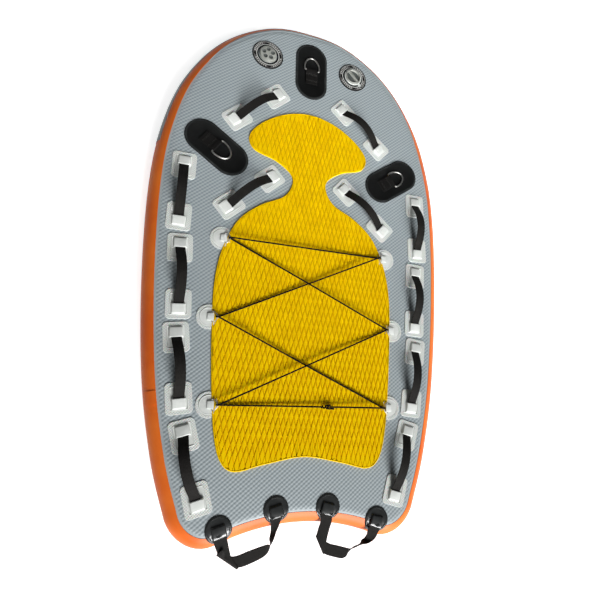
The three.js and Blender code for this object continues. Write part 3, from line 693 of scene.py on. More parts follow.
def rounded_plate(bm, length, width, radius, z=0.0, steps=6):
    """A flat face with round corners, in millimetres."""
    corners = []
    for k, (sx, sy) in enumerate(((1, 1), (-1, 1), (-1, -1), (1, -1))):
        for i in range(steps + 1):
            a = math.radians(90 * k + 90 * i / steps)
            x = sx * (length / 2 - radius) + radius * math.cos(a)
            y = sy * (width / 2 - radius) + radius * math.sin(a)
            corners.append(bm.verts.new((x, y, z)))
    return bm.faces.new(corners)


def raise_face(bm, face, height):
    """Extrudes one face upwards and returns the new top."""
    made = bmesh.ops.extrude_face_region(bm, geom=[face])["geom"]
    top = next(g for g in made if isinstance(g, bmesh.types.BMFace))
    bmesh.ops.translate(bm, verts=top.verts, vec=(0, 0, height))
    return top


def step_in(bm, face, *steps):
    """Insets a face through steps of (width, rise); returns the last ring that it leaves."""
    for width, rise in steps:
        made = bmesh.ops.inset_region(
            bm, faces=[face], thickness=width, depth=rise, use_even_offset=True
        )
    return made["faces"]


def pillow(bm, corners, offset, segments, run=0):
    """A cube drawn out to four corners and their mirror images, round except at its foot.

    corners[forward][high] gives the place along the run (x, or y if run is 1), the half
    width and the height."""
    made = set(bmesh.ops.create_cube(bm, size=1.0)["verts"])
    for vert in made:
        place, half, z = corners[vert.co[run] > 0][vert.co.z > 0]
        half = math.copysign(half, vert.co[1 - run])
        vert.co = (half, place, z) if run else (place, half, z)
    lifted = [e for e in bm.edges if set(e.verts) <= made and max(v.co.z for v in e.verts) > 2]
    soften(bm, lifted, offset, segments)
    bm.normal_update()


def straight(points, step):
    """A smooth path of (place, across) for a strap that lies square to it, along y."""
    return [(p, Vector((0, 1, 0))) for p in smooth_run(points, step) + [points[-1]]]


def rolled_grid(points, columns, layer, wide, place, shift=0.0):
    """A grid with a row for each point and UVs in millimetres, moved to place(u, row)."""
    bm = bmesh.new()
    uv = bm.loops.layers.uv.new(layer)
    rows, run = len(points) - 1, [0.0]
    for a, b in zip(points, points[1:]):
        run.append(run[-1] + (b - a).length)
    bmesh.ops.create_grid(bm, x_segments=columns, y_segments=rows, size=0.5)
    spots = {v: (v.co.x + shift, round((v.co.y + 0.5) * rows)) for v in bm.verts}
    for face in bm.faces:
        for loop in face.loops:
            u, row = spots[loop.vert]
            loop[uv].uv = (u * wide, run[row])
    for vert, (u, row) in spots.items():
        vert.co = place(u, row)
    return bm


def ribbon(path, width):
    """A flat strap along points (place, across) in millimetres."""
    points, across = zip(*path)
    return rolled_grid(points, 6, "weave", width, lambda u, i: points[i] + across[i] * (u * width))


def put_copy(source, name, node, slot, place, body="sled"):
    """Puts a copy of a mesh at a place."""
    data = source.copy()
    data.name = name
    return put(name, data, node, slot, body, place)


def join(meshes, name, materials, crease=35.0):
    """Puts several meshes together as one."""
    bm = bmesh.new()
    for mesh in meshes:
        bm.from_mesh(mesh)
        bpy.data.meshes.remove(mesh)
    return to_mesh(bm, name, materials, crease)


print("helpers for plates and straps ready")

# %% [markdown]
# The tunnel is a pillow that is high at its mouth and slopes down outwards.
# It starts as a cube: taper, bevel, then the mouth face is inset and pushed in.

# %% One handle patch
REACH, PATCH_LONG, PATCH_WIDE, PATCH_CORNER = 87.5, 90.0, 76.0, 13.0
PATCH_LOW = DECK + 0.3
HANDLE_TUNNEL = (
    ((-2.5, 21.5, 0.9), (0.5, 18.5, 10.0)),
    ((32.0, 21.0, 0.9), (28.5, 17.0, 7.0)),
)


def close_corners(bm, height, reach):
    """Draws the small arcs of the top face's corners together into one point each."""
    top = largest(f for f in bm.faces if f.calc_center_median().z > height)
    bmesh.ops.remove_doubles(bm, verts=top.verts[:], dist=reach)
    return largest(f for f in bm.faces if f.calc_center_median().z > height)


def handle_patch():
    bm = bmesh.new()
    top = raise_face(bm, rounded_plate(bm, PATCH_LONG, PATCH_WIDE, PATCH_CORNER), 1.2)
    step_in(bm, top, (0.8, 0.8))
    paint(step_in(bm, top, (10.6, 0.0)), 1)
    top = close_corners(bm, 1.5, 2.6)
    step_in(bm, top, (1.0, 0.9), (1.2, 0.0), (1.4, -1.5))
    pillow(bm, HANDLE_TUNNEL, 2.2, 4)
    mouth = largest(f for f in bm.faces if f.normal.x < -0.7 and f.calc_center_median().z > 3)
    step_in(bm, mouth, (1.4, 0.0), (0.6, -8.0))
    # Painted light: the raised tunnel takes the lighter PVC
    paint(bm.faces, 2, lambda p: p.z > 3.2 and -3.5 < p.x < 33 and abs(p.y) < 21.6)
    return to_mesh(bm, "handle_patch", [clear_pvc, knurled_pvc, tunnel_light_pvc])


patch_mesh = handle_patch()
print("handle patch:", len(patch_mesh.polygons), "faces")

# %% [markdown]
# The strap is a grid bent over a smooth arch. It leaves each tunnel near the middle
# of its patch, and its highest point is 40 mm above the deck.

# %% One strap
STRAP_WIDE, STRAP_THICK, ARCH = 30.0, 2.4, 40.0
ARCH_POINTS = [(93.5, 5.6), (85.5, 6.4), (72.5, 13.5), (53.5, 25.5), (29.5, 35.5)]


def strap_path():
    half = [Vector((s, 0, z)) for s, z in ARCH_POINTS]
    points = half + [Vector((0, 0, ARCH))] + [Vector((-p.x, 0, p.z)) for p in reversed(half)]
    return straight(points, 5.0)


def thick_ribbon(bm, thickness, name, material):
    """Gives a flat strap its thickness and soft edges."""
    bmesh.ops.recalc_face_normals(bm, faces=bm.faces)
    bmesh.ops.solidify(bm, geom=bm.faces[:], thickness=thickness)
    bmesh.ops.recalc_face_normals(bm, faces=bm.faces)
    sharp = [e for e in bm.edges if len(e.link_faces) == 2 and e.calc_face_angle(0) > 1.2]
    soften(bm, sharp, thickness * 0.3, 2)
    return to_mesh(bm, name, [material], 50.0)


strap_mesh = thick_ribbon(ribbon(strap_path(), STRAP_WIDE), STRAP_THICK, "handle_strap", webbing)
print("handle strap:", len(strap_mesh.polygons), "faces")

# %% Twelve handles
# Each row gives x and y of the middle and the turn in radians, then how far the port and the
# starboard strap lean over sideways at the top of their arch, in millimetres
HANDLES = {
    "": [
        (422.6, 394.3, 0.011, 0, -1),
        (406.7, 119.2, -0.054, 6, -2),
        (389.4, -153.8, -0.122, 7, -6),
        (333.0, -427.0, -0.274, -13, -7),
    ],
    "head_": [(197.6, 752.0, 0.842, 4, -2), (206.3, 429.8, 0.841, -2, -5)],
}


def place_handle(node, x, y, turn, side, lean):
    heading = math.atan2(-math.cos(turn), side * math.sin(turn))
    whole = turned(side * x, y, heading, PATCH_LOW)
    for spin, name in ((0.0, "aft"), (math.pi, "fore")):
        local = whole @ Matrix.Rotation(spin, 4, "Z") @ Matrix.Translation((REACH, 0, 0))
        put_copy(patch_mesh, f"{node}_{name}", node, "pvc_clear", local)
    shear = Matrix.Identity(4)
    shear[1][2] = lean / ARCH
    put_copy(strap_mesh, f"{node}_strap", node, "webbing", whole @ shear)


for side, label in ((-1, "left"), (1, "right")):
    for group, rows in HANDLES.items():
        for i, (x, y, turn, *leans) in enumerate(rows, 1):
            place_handle(f"handle_{group}{label}_{i}", x, y, turn, side, leans[side > 0])
print("twelve handles placed")

# %% [markdown]
# ### Rubber, steel and tow webbing
# The tow patches and stern patches are black PVC, a little glossy where they are moulded.
# The rings are bent stainless steel wire, brushed by use: a bright metal, half rough.

# %% Materials for the tow points
# Black PVC with the fine grain of its mould
shades = "#0d0e0e", "#141515"
black_pvc = new_material("black_pvc_patch", "#101111", 0.6, shades, 40, Specular_IOR_Level=0.2)
bump(black_pvc, noise(black_pvc, 900.0, 2.0), 0.12, 0.5)

# The same PVC where the mould is polished
gloss_pvc = new_material("black_gloss_pvc", "#2a2c2c", 0.22, ("#262828", "#333535"), 30)

# Stainless steel wire, brushed by use
shades = "#c4c3bf", "#e0dfdb"
steel = new_material("stainless_steel_wire", "#d4d3cf", 0.38, shades, 12, Metallic=1.0)

# Heavier webbing, its ribs drawn 2.4 mm apart along the strap and 2.88 mm across it
colors = "#0b0b0a", ("#0b0b0a", "#171615")
tow_webbing = yarn_material("tow_webbing", *colors, 2.4, 2.88, 0.75, 0.15, 0.3)
print("tow materials:", black_pvc.name, gloss_pvc.name, steel.name, tow_webbing.name)

# %% [markdown]
# ## Tow points
# An oblong patch is welded to the deck, with a raised line round it where the mould closes.
# A piece of webbing is folded round the straight bar of a D-ring and sewn to the patch.
# Wire is a flat grid rolled round a path, one row of the grid for each point of the path.


# %% Helpers for wire and cord
def ways(points, closed=False):
    """Two directions across the path at each point, carried along without a twist."""
    count, up, made = len(points), None, []
    for i, here in enumerate(points):
        before = points[i - 1] if closed or i else here
        after = points[(i + 1) % count] if closed or i + 1 < count else here
        along = (after - before).normalized()
        up = up or (Vector((0, 0, 1)) if abs(along.z) < 0.9 else Vector((1, 0, 0)))
        side = along.cross(up).normalized()
        up = side.cross(along)
        made.append((side, up.copy()))
    return made


def tube(points, radius, sides=12, closed=False):
    """Wire along a path in millimetres; its UV map runs round and along it."""
    across = ways(points, closed)
    if closed:
        points, across = points + points[:1], across + across[:1]

    def place(turn, row):
        side, up = across[row]
        angle = 2 * math.pi * turn
        return points[row] + radius * (math.cos(angle) * side + math.sin(angle) * up)

    bm = rolled_grid(points, sides, "lay", 2 * math.pi * radius, place, 0.5)
    bmesh.ops.remove_doubles(bm, verts=bm.verts, dist=1e-4)
    if not closed:
        bmesh.ops.holes_fill(bm, edges=[e for e in bm.edges if e.is_boundary], sides=0)
    bmesh.ops.recalc_face_normals(bm, faces=bm.faces)
    return bm


def ring_path(half, reach, fall, start):
    """A D-ring from half its outline: the bar lies on the y axis and the bow on the x axis."""
    outline = half + [(reach, 0)] + [(x, -y) for x, y in reversed(half)]
    return smooth_run([Vector((x, y, start - x * fall)) for x, y in outline], 2.0, closed=True)


print("wire helper ready")

# %% One tow patch, tab and ring
TOW_LONG, TOW_WIDE, TOW_TOP = 234.0, 122.0, 2.5
TOW_WIRE, TOW_BAR, TOW_REACH, TAB_WIDE, TAB_THICK = 2.75, 8.0, 53.0, 46.0, 2.0


def tow_patch():
    bm = bmesh.new()
    plate = rounded_plate(bm, TOW_LONG, TOW_WIDE, TOW_WIDE / 2 - 0.5, 0.3, 16)
    top = raise_face(bm, plate, 1.2)
    step_in(bm, top, (0.7, 0.6))
    for step in ((5.0, 0.0), (0.8, 0.5), (1.0, 0.0), (0.8, -0.4)):
        paint(step_in(bm, top, step), 1)
    return to_mesh(bm, "tow_patch", [black_pvc, gloss_pvc])


def tow_tab():
    """Webbing lies on the patch, turns round the bar and comes back on itself."""
    low = TOW_TOP + 1.6
    turn = [math.radians(a) for a in range(-90, 91, 20)]
    back = [(-57, low + 0.2), (-30, low + 0.1), (-8, low)]
    bend = [(4.0 * math.cos(a), TOW_BAR + 4.0 * math.sin(a)) for a in turn]
    front = [(-9, TOW_BAR + 2.6), (-20, low + 2.4), (-48, low + 2.2)]
    points = [Vector((x, 0, z)) for x, z in back + bend + front]
    strap = ribbon(straight(points, 3.0), TAB_WIDE)
    return thick_ribbon(strap, TAB_THICK, "tow_tab", tow_webbing)


RING_HALF = [(0, 8), (0, 23.8), (1.4, 26.8), (4.6, 28), (16, 28), (30, 25), (42, 18.5), (50, 10)]
ring_fall = (TOW_BAR - (TOW_TOP + TOW_WIRE + 0.3)) / TOW_REACH
wire = tube(ring_path(RING_HALF, TOW_REACH, ring_fall, TOW_BAR), TOW_WIRE, 14, True)
ring_mesh = to_mesh(wire, "tow_ring", [steel], 60)
tow_patch_mesh, tow_tab_mesh = tow_patch(), tow_tab()
made = tow_patch_mesh, tow_tab_mesh, ring_mesh
print("tow patch, tab, ring:", [len(m.polygons) for m in made], "faces")

# %% Stitches of the tab
# Two double rows of polyester thread are sewn across the tab, as small raised dashes
thread = new_material("black_polyester_thread", "#2c2b29", 0.5, ("#262523", "#353330"), 4)


def stitches(rows, half_width, height, length=3.2, gap=1.4, radius=0.45):
    """Rows of dashes across a strap: each is a short capsule of thread."""
    bm = bmesh.new()
    for x in rows:
        y = -half_width
        while y < half_width:
            made = bmesh.ops.create_uvsphere(bm, u_segments=6, v_segments=4, radius=radius)["verts"]
            bmesh.ops.scale(bm, verts=made, vec=(1.0, length / radius / 2, 0.8))
            bmesh.ops.translate(bm, verts=made, vec=(x, y + length / 2, height))
            y += length + gap
    return to_mesh(bm, "stitches", [thread])


stitch_mesh = stitches((-16, -19.5, -42, -45.5), 20.0, TOW_TOP + 5.1)

TOW_POINTS = [("centre", 0, TOW_Y, 90), ("left", -324, 567, -35), ("right", 324, 567, 35)]
for name, x, y, heading in TOW_POINTS:
    local = turned(x, y, math.radians(heading))
    parts = [
        ("tow_patch", tow_patch_mesh, "tow_patch", "patch_black"),
        ("tow_tab", tow_tab_mesh, "tow_tab", "webbing"),
        ("tow_stitches", stitch_mesh, "tow_tab", "webbing"),
        ("tow_ring", ring_mesh, "tow_ring", "steel"),
    ]
    for label, mesh, node, slot in parts:
        body = f"tow_ring_{name}" if label == "tow_ring" else "sled"
        put_copy(mesh, f"{label}_{name}_look", f"{node}_{name}", slot, local, body)
print("three tow points placed")

# %% [markdown]
# ## Stern patches and hand loops
# The four stern patches are soft PVC and bend down over the rail with the board.
# A disc with fine rings is dropped on the hull by a ray from above each point, so it follows
# the curve whatever its shape. A pillow with an open mouth is laid on it the same way.

# %% Patches that follow the rail
hull_mesh = bmesh.new()
for name in ("deck_skin_pvc", "side_tape"):
    hull_mesh.from_mesh(bpy.data.objects[name].data)
hull_tree = BVHTree.FromBMesh(hull_mesh)
hull_mesh.free()
PATCH_RADIUS = 38.0
HINGE_TURN = math.atan2(-548 + 592, 243 - 80.5)
STERN_PATCHES = {
    "left_outer": (-243, -592),
    "left_inner": (-80.5, -548),
    "right_inner": (80.5, -548),
    "right_outer": (243, -592),
}
STERN_TUNNEL = (
    ((-13.5, 20.0, 1.2), (-10.0, 18.0, 7.6)),
    ((20.5, 22.0, 1.2), (19.5, 20.0, 9.6)),
)


def stern_frame(x):
    """Directions along the hinge line and straight aft of it."""
    turn = -math.copysign(HINGE_TURN, x)
    across = Vector((math.cos(turn), math.sin(turn), 0))
    return across, Vector((across.y, -across.x, 0))


def lay_on_hull(bm, x, y):
    """Takes a flat piece (across, aft, height in mm) and lays it over the hull at a place."""
    across, aft = stern_frame(x)
    for vert in bm.verts:
        spot = Vector((x, y, 0)) + across * vert.co.x + aft * vert.co.y
        hit, normal, _, _ = hull_tree.ray_cast(at(spot.x, spot.y, 200), Vector((0, 0, -1)))
        if normal.z < 0:
            normal = -normal
        vert.co = hit + normal * (vert.co.z * MM)
    bmesh.ops.recalc_face_normals(bm, faces=bm.faces)
    return bm


def stern_disc():
    bm = bmesh.new()
    bmesh.ops.create_circle(bm, cap_ends=True, segments=48, radius=PATCH_RADIUS)
    bmesh.ops.translate(bm, verts=bm.verts, vec=(0, 0, 0.3))
    top = raise_face(bm, bm.faces[:][0], 1.5)
    step_in(bm, top, (0.9, 0.7), (2.6, 0.0), (0.7, 0.6), (1.2, 0.0), (0.7, -0.6))
    step_in(bm, top, *[(4.2, 0.0)] * 6)
    return bm


def stern_tunnel():
    """A pillow over the webbing; its mouth faces aft, which is +y here."""
    bm = bmesh.new()
    pillow(bm, STERN_TUNNEL, 2.6, 4, run=1)
    mouth = largest(f for f in bm.faces if f.normal.y > 0.7)
    step_in(bm, mouth, (1.5, 0.0), (0.3, -9.0))
    long_edges = [e for e in bm.edges if e.calc_length() > 12]
    bmesh.ops.subdivide_edges(bm, edges=long_edges, cuts=6, use_grid_fill=True)
    bmesh.ops.triangulate(bm, faces=[f for f in bm.faces if len(f.verts) > 4])
    return bm


for label, (x, y) in STERN_PATCHES.items():
    node = f"stern_patch_{label}"
    for kind, made in (("disc", stern_disc()), ("tunnel", stern_tunnel())):
        data = to_mesh(lay_on_hull(made, x, y), f"{node}_{kind}", [gloss_pvc], 40)
        put(data.name, data, node, "rubber_black")
print("stern patches laid on the rail")

# %% [markdown]
# A loop is one piece of black webbing. It leaves both tunnels, falls over the rail and
# stands off behind the board. It is folded flat over itself at one corner and turns half
# round in a narrow neck at the other. A station gives both edges of the webbing:
# along the hinge line, aft of it, and above or below the falling surface.

# %% Two hand loops
LOOP_AXIS, LOOP_Z, LOOP_DROP, DROP_LENGTH = 21.0, 101.0, 50.0, 122.0
LOOP_WIDE, LOOP_THICK, HEM_RADIUS = 38.0, 2.2, 1.7
LOOP_STATIONS = {
    "left": [
        (-19, 0, 0, 19, 0, 0), (-18, 15, 0, 19, 15, 0), (-15, 33, 0, 20, 45, 0),
        (-14, 38, 1, 21.5, 63, 1), (-13.4, 40, 1.4, 35, 100, 1.4), (-14.6, 41, 0, 33.8, 100.9, 0),
        (-13.4, 40, -1.4, 35, 100, -1.4), (8, 53, -1.4, 48, 102, -1.4),
        (30, 64.8, -0.5, 62, 101.8, -0.5), (72, 65, 0, 84, 100.5, 0),
        (100, 65.3, 0, 104, 98.3, 0), (118, 66, 0.5, 118, 94.5, -0.5), (127, 66, 4, 128, 88, -4),
        (132, 65.5, 15, 138.5, 75, -15), (146, 54, 10, 137, 58, -10), (158, 38, 5, 142, 38, -5),
        (168, 26, 2, 144, 25, -2), (177, 10, 0, 146, 10, 0), (187, 0, 0, 149, 0, 0),
    ],
    "right": [
        (-19, 0, 0, 19, 0, 0), (-16.5, 14, 0, 20, 14, 0), (-15.5, 29.6, 0, 18, 29, 0),
        (-8, 41, 3, 20, 41, -3), (8, 51, 9, 23, 49, -9), (33, 58, 15, 20, 62, -15),
        (51, 71, 15, 38, 76, -15), (58, 78.5, 6, 55, 94, -6), (62, 79.5, 1, 60, 104, -1),
        (75, 79.2, 0, 72, 112, 0), (100, 79, 0, 100, 113, 0), (125, 79, -1, 120, 112.5, -1),
        (175.4, 65.7, -1.4, 133.6, 110.9, -1.4), (176.5, 66.7, 0, 134.7, 111.9, 0),
        (175.4, 65.7, 1.4, 133.6, 110.9, 1.4), (176.5, 45, 1, 139.5, 60, 1),
        (177, 25, 0, 141.5, 35, 0), (181, 12, 0, 143, 15, 0), (187, 0, 0, 149, 0, 0),
    ],
}


def loop_strap(label, side):
    edges = ([], [])
    for station in LOOP_STATIONS[label]:
        for made, (u, w, rise) in zip(edges, (station[:3], station[3:])):
            fall = LOOP_DROP * (1 - math.exp(-w / DROP_LENGTH))
            made.append(Vector((-side * u, -w, rise - fall)))
    middles = [(a + b) / 2 for a, b in zip(*edges)]
    counts = [max(1, round((b - a).length / 3)) for a, b in zip(middles, middles[1:])]
    one, other = (counted_run(points, counts) for points in edges)
    strap = ribbon([((a + b) / 2, (b - a) / LOOP_WIDE) for a, b in zip(one, other)], LOOP_WIDE)
    strap.normal_update()
    for vert in strap.verts:
        vert.co += vert.normal * LOOP_THICK / 2
    data = thick_ribbon(strap, LOOP_THICK, f"loop_{label}", webbing)
    x, y = STERN_PATCHES[f"{label}_outer"]
    _, aft = stern_frame(x)
    turn = -math.copysign(HINGE_TURN, x)
    place = turned(x + aft.x * LOOP_AXIS, y + aft.y * LOOP_AXIS, turn, LOOP_Z)
    node = f"stern_loop_{label}"
    put(f"{node}_webbing", data, node, "webbing", node, place)
    hems = []
    for end in (middles[0], middles[-1]):
        hem = tube([end + Vector((s, 0, 0)) for s in (-19, -9, 0, 9, 19)], HEM_RADIUS)
        hems.append(to_mesh(hem, f"{node}_hem", [webbing]))
    data = join(hems, f"{node}_hems", [webbing])
    put(f"{node}_hems", data, node, "webbing", node, place)


loop_strap("left", -1)
loop_strap("right", 1)
print("two hand loops made")

# %% [markdown]
# ## Bungee lacing
# Six round clear patches lie half under the edge of the pad. Each has a knurled rim, a groove
# and a tab that a wire ring runs through. One elastic cord is laced through the six rings
# and is closed by a knot on its last run.

# %% Anchors and rings
ANCHORS = [(287.0, 254.5), (310.5, 0.0), (293.6, -257.0)]
BAR_X, BAR_Z, RING_REACH, RING_WIRE = 8.0, 6.0, 17.5, 1.5
CORD_RADIUS, CORD_TURN, CORD_LOW, CORD_UNDER, CORD_OVER = 2.5, 5.0, 7.9, 9.9, 15.7
BOW_Z = CORD_LOW + CORD_TURN
ANCHOR_TAB = (
    ((-8.0, 11.6, 1.0), (-5.0, 10.9, 7.2)),
    ((15.0, 13.2, 1.0), (14.5, 12.5, 9.0)),
)


def anchor_patch():
    bm = bmesh.new()
    bmesh.ops.create_circle(bm, cap_ends=True, segments=56, radius=PATCH_RADIUS)
    top = raise_face(bm, bm.faces[:][0], 1.3)
    step_in(bm, top, (0.7, 0.7))
    paint(step_in(bm, top, (6.4, 0.0)), 1)
    step_in(bm, top, (0.6, -1.0), (1.3, 0.0), (0.6, 1.5), (0.5, 0.9))
    step_in(bm, top, (1.0, 0.1), (0.9, -0.7), (2.6, 0.35), (6.0, 0.3))
    pillow(bm, ANCHOR_TAB, 1.7, 3)
    # Painted light: the raised tab takes the lighter PVC
    paint(bm.faces, 2, lambda p: p.z > 4.4 and abs(p.y) < 13.5)
    return to_mesh(bm, "anchor_patch", [clear_pvc, knurled_pvc, tunnel_light_pvc])


ANCHOR_RING_HALF = [(0, 6), (0, 13.5), (2.5, 16), (8, 15), (15, 5.5)]
rise = (BOW_Z - 0.3 - BAR_Z) / RING_REACH
wire = tube(ring_path(ANCHOR_RING_HALF, RING_REACH, -rise, BAR_Z), RING_WIRE, 10, True)
anchor_ring_mesh = to_mesh(wire, "wire_ring", [steel], 60)
anchor_ring_mesh.transform(Matrix.Translation((BAR_X, 0, 0)))
anchor_mesh = anchor_patch()
for side, label in ((-1, "left"), (1, "right")):
    for i, (x, y) in enumerate(ANCHORS, 1):
        local = turned(side * x, y, 0.0 if side < 0 else math.pi, PATCH_LOW)
        parts = ("patch", anchor_mesh, "pvc_clear"), ("ring", anchor_ring_mesh, "steel")
        for kind, mesh, slot in parts:
            node = f"bungee_{kind}_{label}_{i}"
            put_copy(mesh, f"{node}_look", node, slot, local)
print("six anchors, each", len(anchor_mesh.polygons), "faces")

# %% [markdown]
# Shock cord is rubber under a braid of polyester yarn. The braid is drawn by two waves
# that wind round the cord in opposite directions.

# %% Braided cover
# Braided polyester yarn: four waves go round the cord, and the braid repeats every 3.4 mm
colors = "#0c0c0b", ("#0a0a09", "#1c1b19")
around_mm = math.tau * CORD_RADIUS / 4
braid = yarn_material("braided_polyester_cover", *colors, 3.4, around_mm, 0.85, 0.05, 0.25)
print("cord material:", braid.name)

# %% The laced cord and its knot
KNOT_X, KNOT_HALF = 62.0, 13.0


def bow(side, index):
    x, y = ANCHORS[index]
    return Vector((side * (x - BAR_X - RING_REACH), y, 0))


def cord_route():
    """The cord comes in low along the deck, turns up round each bow and goes out above it."""
    port, starboard = ([bow(side, i) for i in range(3)] for side in (-1, 1))
    ends = [Vector((KNOT_X + s * (KNOT_HALF - 4), port[2].y, 0)) for s in (-1, 1)]
    stops = [ends[0], port[2], starboard[1], port[0], starboard[0], port[1], starboard[2], ends[1]]
    middles = [None, CORD_OVER, CORD_OVER, BOW_Z, CORD_UNDER, CORD_UNDER, None]
    top = BOW_Z + CORD_TURN
    route = [(stops[0], BOW_Z)]
    for i in range(1, 7):
        before, here, after = stops[i - 1 : i + 2]
        out = Vector((math.copysign(1, here.x), 0, 0))
        back, on = (before - here).normalized(), (after - here).normalized()
        route += [(here + back * 45, CORD_LOW + 0.4), (here + back * 6, CORD_LOW), (here, CORD_LOW)]
        for angle in (math.radians(45), math.radians(90), math.radians(135)):
            side, rise = CORD_TURN * math.sin(angle), CORD_TURN * math.cos(angle)
            route.append((here + out * side, BOW_Z - rise))
        route += [(here, top), (here + on * 6, top - 0.2), (here + on * 45, top - 1.2)]
        if middles[i] is not None:
            route.append((here.lerp(after, 0.5), middles[i]))
    route.append((stops[-1], BOW_Z))
    return [Vector((p.x, p.y, z)) for p, z in route]


def tight_path(points, step=6.0):
    """A smooth run with steps of one length, and at least three between two points."""
    counts = [max(3, round((b - a).length / step)) for a, b in zip(points, points[1:])]
    return counted_run(points, counts)


route = tight_path(cord_route())
cord_length = sum((b - a).length for a, b in zip(route, route[1:]))
data = to_mesh(tube(route, CORD_RADIUS), "bungee_cord_braid", [braid], 60)
put(data.name, data, "bungee_cord", "elastic", place=turned(0, 0, 0, PATCH_LOW))
print("laced cord is", round(cord_length / 1000, 2), "m long")

# %% [markdown]
# The knot is an overhand bend: both ends wind round each other in a fat coil
# and come out on the starboard side, where they lie along the cord.


# %% Knot
KNOT_TAILS = (
    [(5, -4, 0), (11, -5.2, 0.2), (20, -5.4, 0), (31, -5.3, -0.4)],
    [(5, 4, 0), (11, 5.2, 0.2), (19, 5.3, 0)],
)


def strand(points):
    return to_mesh(tube(tight_path(points, 2.0), CORD_RADIUS, 10), "strand", [braid])


def knot():
    strands = []
    for phase, side in ((0.0, 1), (math.pi, -1)):
        coil = []
        for i in range(33):
            t = i / 32
            angle = phase + side * t * 2.5 * 2 * math.pi
            swell = 1.8 + 2.0 * math.sin(math.pi * t)
            around = swell * math.cos(angle), swell * math.sin(angle)
            coil.append(Vector((side * (12 - 24 * t), *around)))
        strands.append(strand(coil))
    for tail in KNOT_TAILS:
        strands.append(strand([Vector(p) for p in tail]))
    return join(strands, "bungee_knot_braid", [braid], 60)


data = knot()
place = turned(KNOT_X, ANCHORS[2][1], 0.0, PATCH_LOW + BOW_Z)
put(data.name, data, "bungee_knot", "elastic", place=place)
print("knot made with", len(data.polygons), "faces")

# %% [markdown]
# ## Valves
# Both valves are moulded nylon, set in the deck, with a welded collar round each.
# A lathe makes the round parts: a profile of radius and height is spun once about Z.

# %% Plastics of the valves
# Moulded nylon with a faint grain
nylon = new_material("moulded_grey_nylon", "#999b95", 0.3, ("#90928c", "#a2a49e"), 14)
bump(nylon, noise(nylon, 1500.0, 2.0), 0.04, 0.5)

# Painted shade: the floors of the recesses and pockets take a darker copy of the nylon, for the
# shade that falls in them
recess_shade_nylon = new_material("nylon_painted_recess_shade", "#4c504e", 0.6, ("#444846", "#565a58"), 9)

# Grey PVC sheet of the collar
collar_pvc = new_material("grey_pvc_collar", "#4f4b4b", 0.42, ("#484444", "#575352"), 24)

# Black PVC of its beads and blocks
shades = "#101010", "#1b1b1a"
collar_line = new_material("dark_pvc_bead", "#141414", 0.4, shades, 18, Specular_IOR_Level=0.25)

# Silicone rubber of the poppet
rubber = new_material("black_silicone_rubber", "#232324", 0.6, ("#1f1f20", "#2a2a2b"), 10)
print("valve materials:", nylon.name, collar_pvc.name, rubber.name)


# %% A lathe
def lathe(profile, steps=48):
    """Spins a closed or open profile of (radius, height) about Z; open ends lie on the axis."""
    bm = bmesh.new()
    verts = [bm.verts.new((r, 0, z)) for r, z in profile]
    edges = [bm.edges.new(pair) for pair in zip(verts, verts[1:])]
    if profile[0][0] > 0 and profile[-1][0] > 0:
        edges.append(bm.edges.new((verts[-1], verts[0])))
    turn = {"cent": (0, 0, 0), "axis": (0, 0, 1), "angle": 2 * math.pi, "steps": steps}
    bmesh.ops.spin(bm, geom=verts + edges, use_merge=True, **turn)
    bmesh.ops.remove_doubles(bm, verts=bm.verts, dist=1e-4)
    bmesh.ops.recalc_face_normals(bm, faces=bm.faces)
    return bm


print("lathe ready")

# %% [markdown]
# The collar is a flat washer with a fine bead near its inner edge and another at the rim.
# Between them runs a plain scale of light ticks, parted by four black blocks.

# %% Collars, and the insides of the valves
COLLAR_PROFILE = [(34.0, 0.3), (57.4, 0.3), (57.2, 1.3), (56.6, 1.8), (54.6, 1.8), (54.2, 1.5)]
COLLAR_PROFILE += [(53.6, 1.8), (52.6, 1.8), (52.0, 1.5), (50.4, 1.5), (45.2, 1.5), (42.6, 1.5)]
COLLAR_PROFILE += [(42.0, 1.8), (41.0, 1.8), (40.4, 1.5), (39.6, 2.1), (36.2, 2.3), (34.8, 2.0)]
COLLAR_PROFILE += [(34.0, 1.3)]
TICKS = 120


def collar(name, node, local):
    bm = lathe(COLLAR_PROFILE, TICKS)
    bm.normal_update()
    for face in bm.faces:
        middle = face.calc_center_median()
        radius = math.hypot(middle.x, middle.y)
        turn = round(math.atan2(middle.y, middle.x) / math.tau * TICKS - 0.5) % (TICKS // 4)
        level = 42.6 < radius < 52.0 and face.normal.z > 0.9
        if radius > 52.3 or radius < 40.3 or (level and turn < 5):
            face.material_index = 1
        elif level and 45.2 < radius < 50.4 and turn > 6 and turn % 3 == 0:
            face.material_index = 2
        elif radius > 51.9 or radius < 42.7:
            face.material_index = 2
    data = to_mesh(bm, name, [collar_pvc, collar_line, clear_pvc])
    put(name, data, node, "valve_collar", place=local)


inflation_place = turned(VALVE_X, VALVE_Y, 0.0)
relief_place = turned(-VALVE_X, VALVE_Y, 0.0)
collar("inflation_collar_look", "inflation_collar", inflation_place)
collar("relief_collar_look", "relief_collar", relief_place)
insides = [
    (nylon, "inflation_body", "relief_body", "inflation_plunger"),
    (rubber, "relief_poppet"),
    (steel, "inflation_spring", "relief_spring"),
]
for material, *names in insides:
    for name in names:
        slots = bpy.data.objects[name].data.materials
        slots.clear()
        slots.append(material)
print("collars made, insides of the valves dressed")

# %% [markdown]
# The inflation cap is a dished disc with a bar across it to grip. The relief cap is a disc
# with five finger pockets: five round-nosed cutters are taken from it with a Boolean.


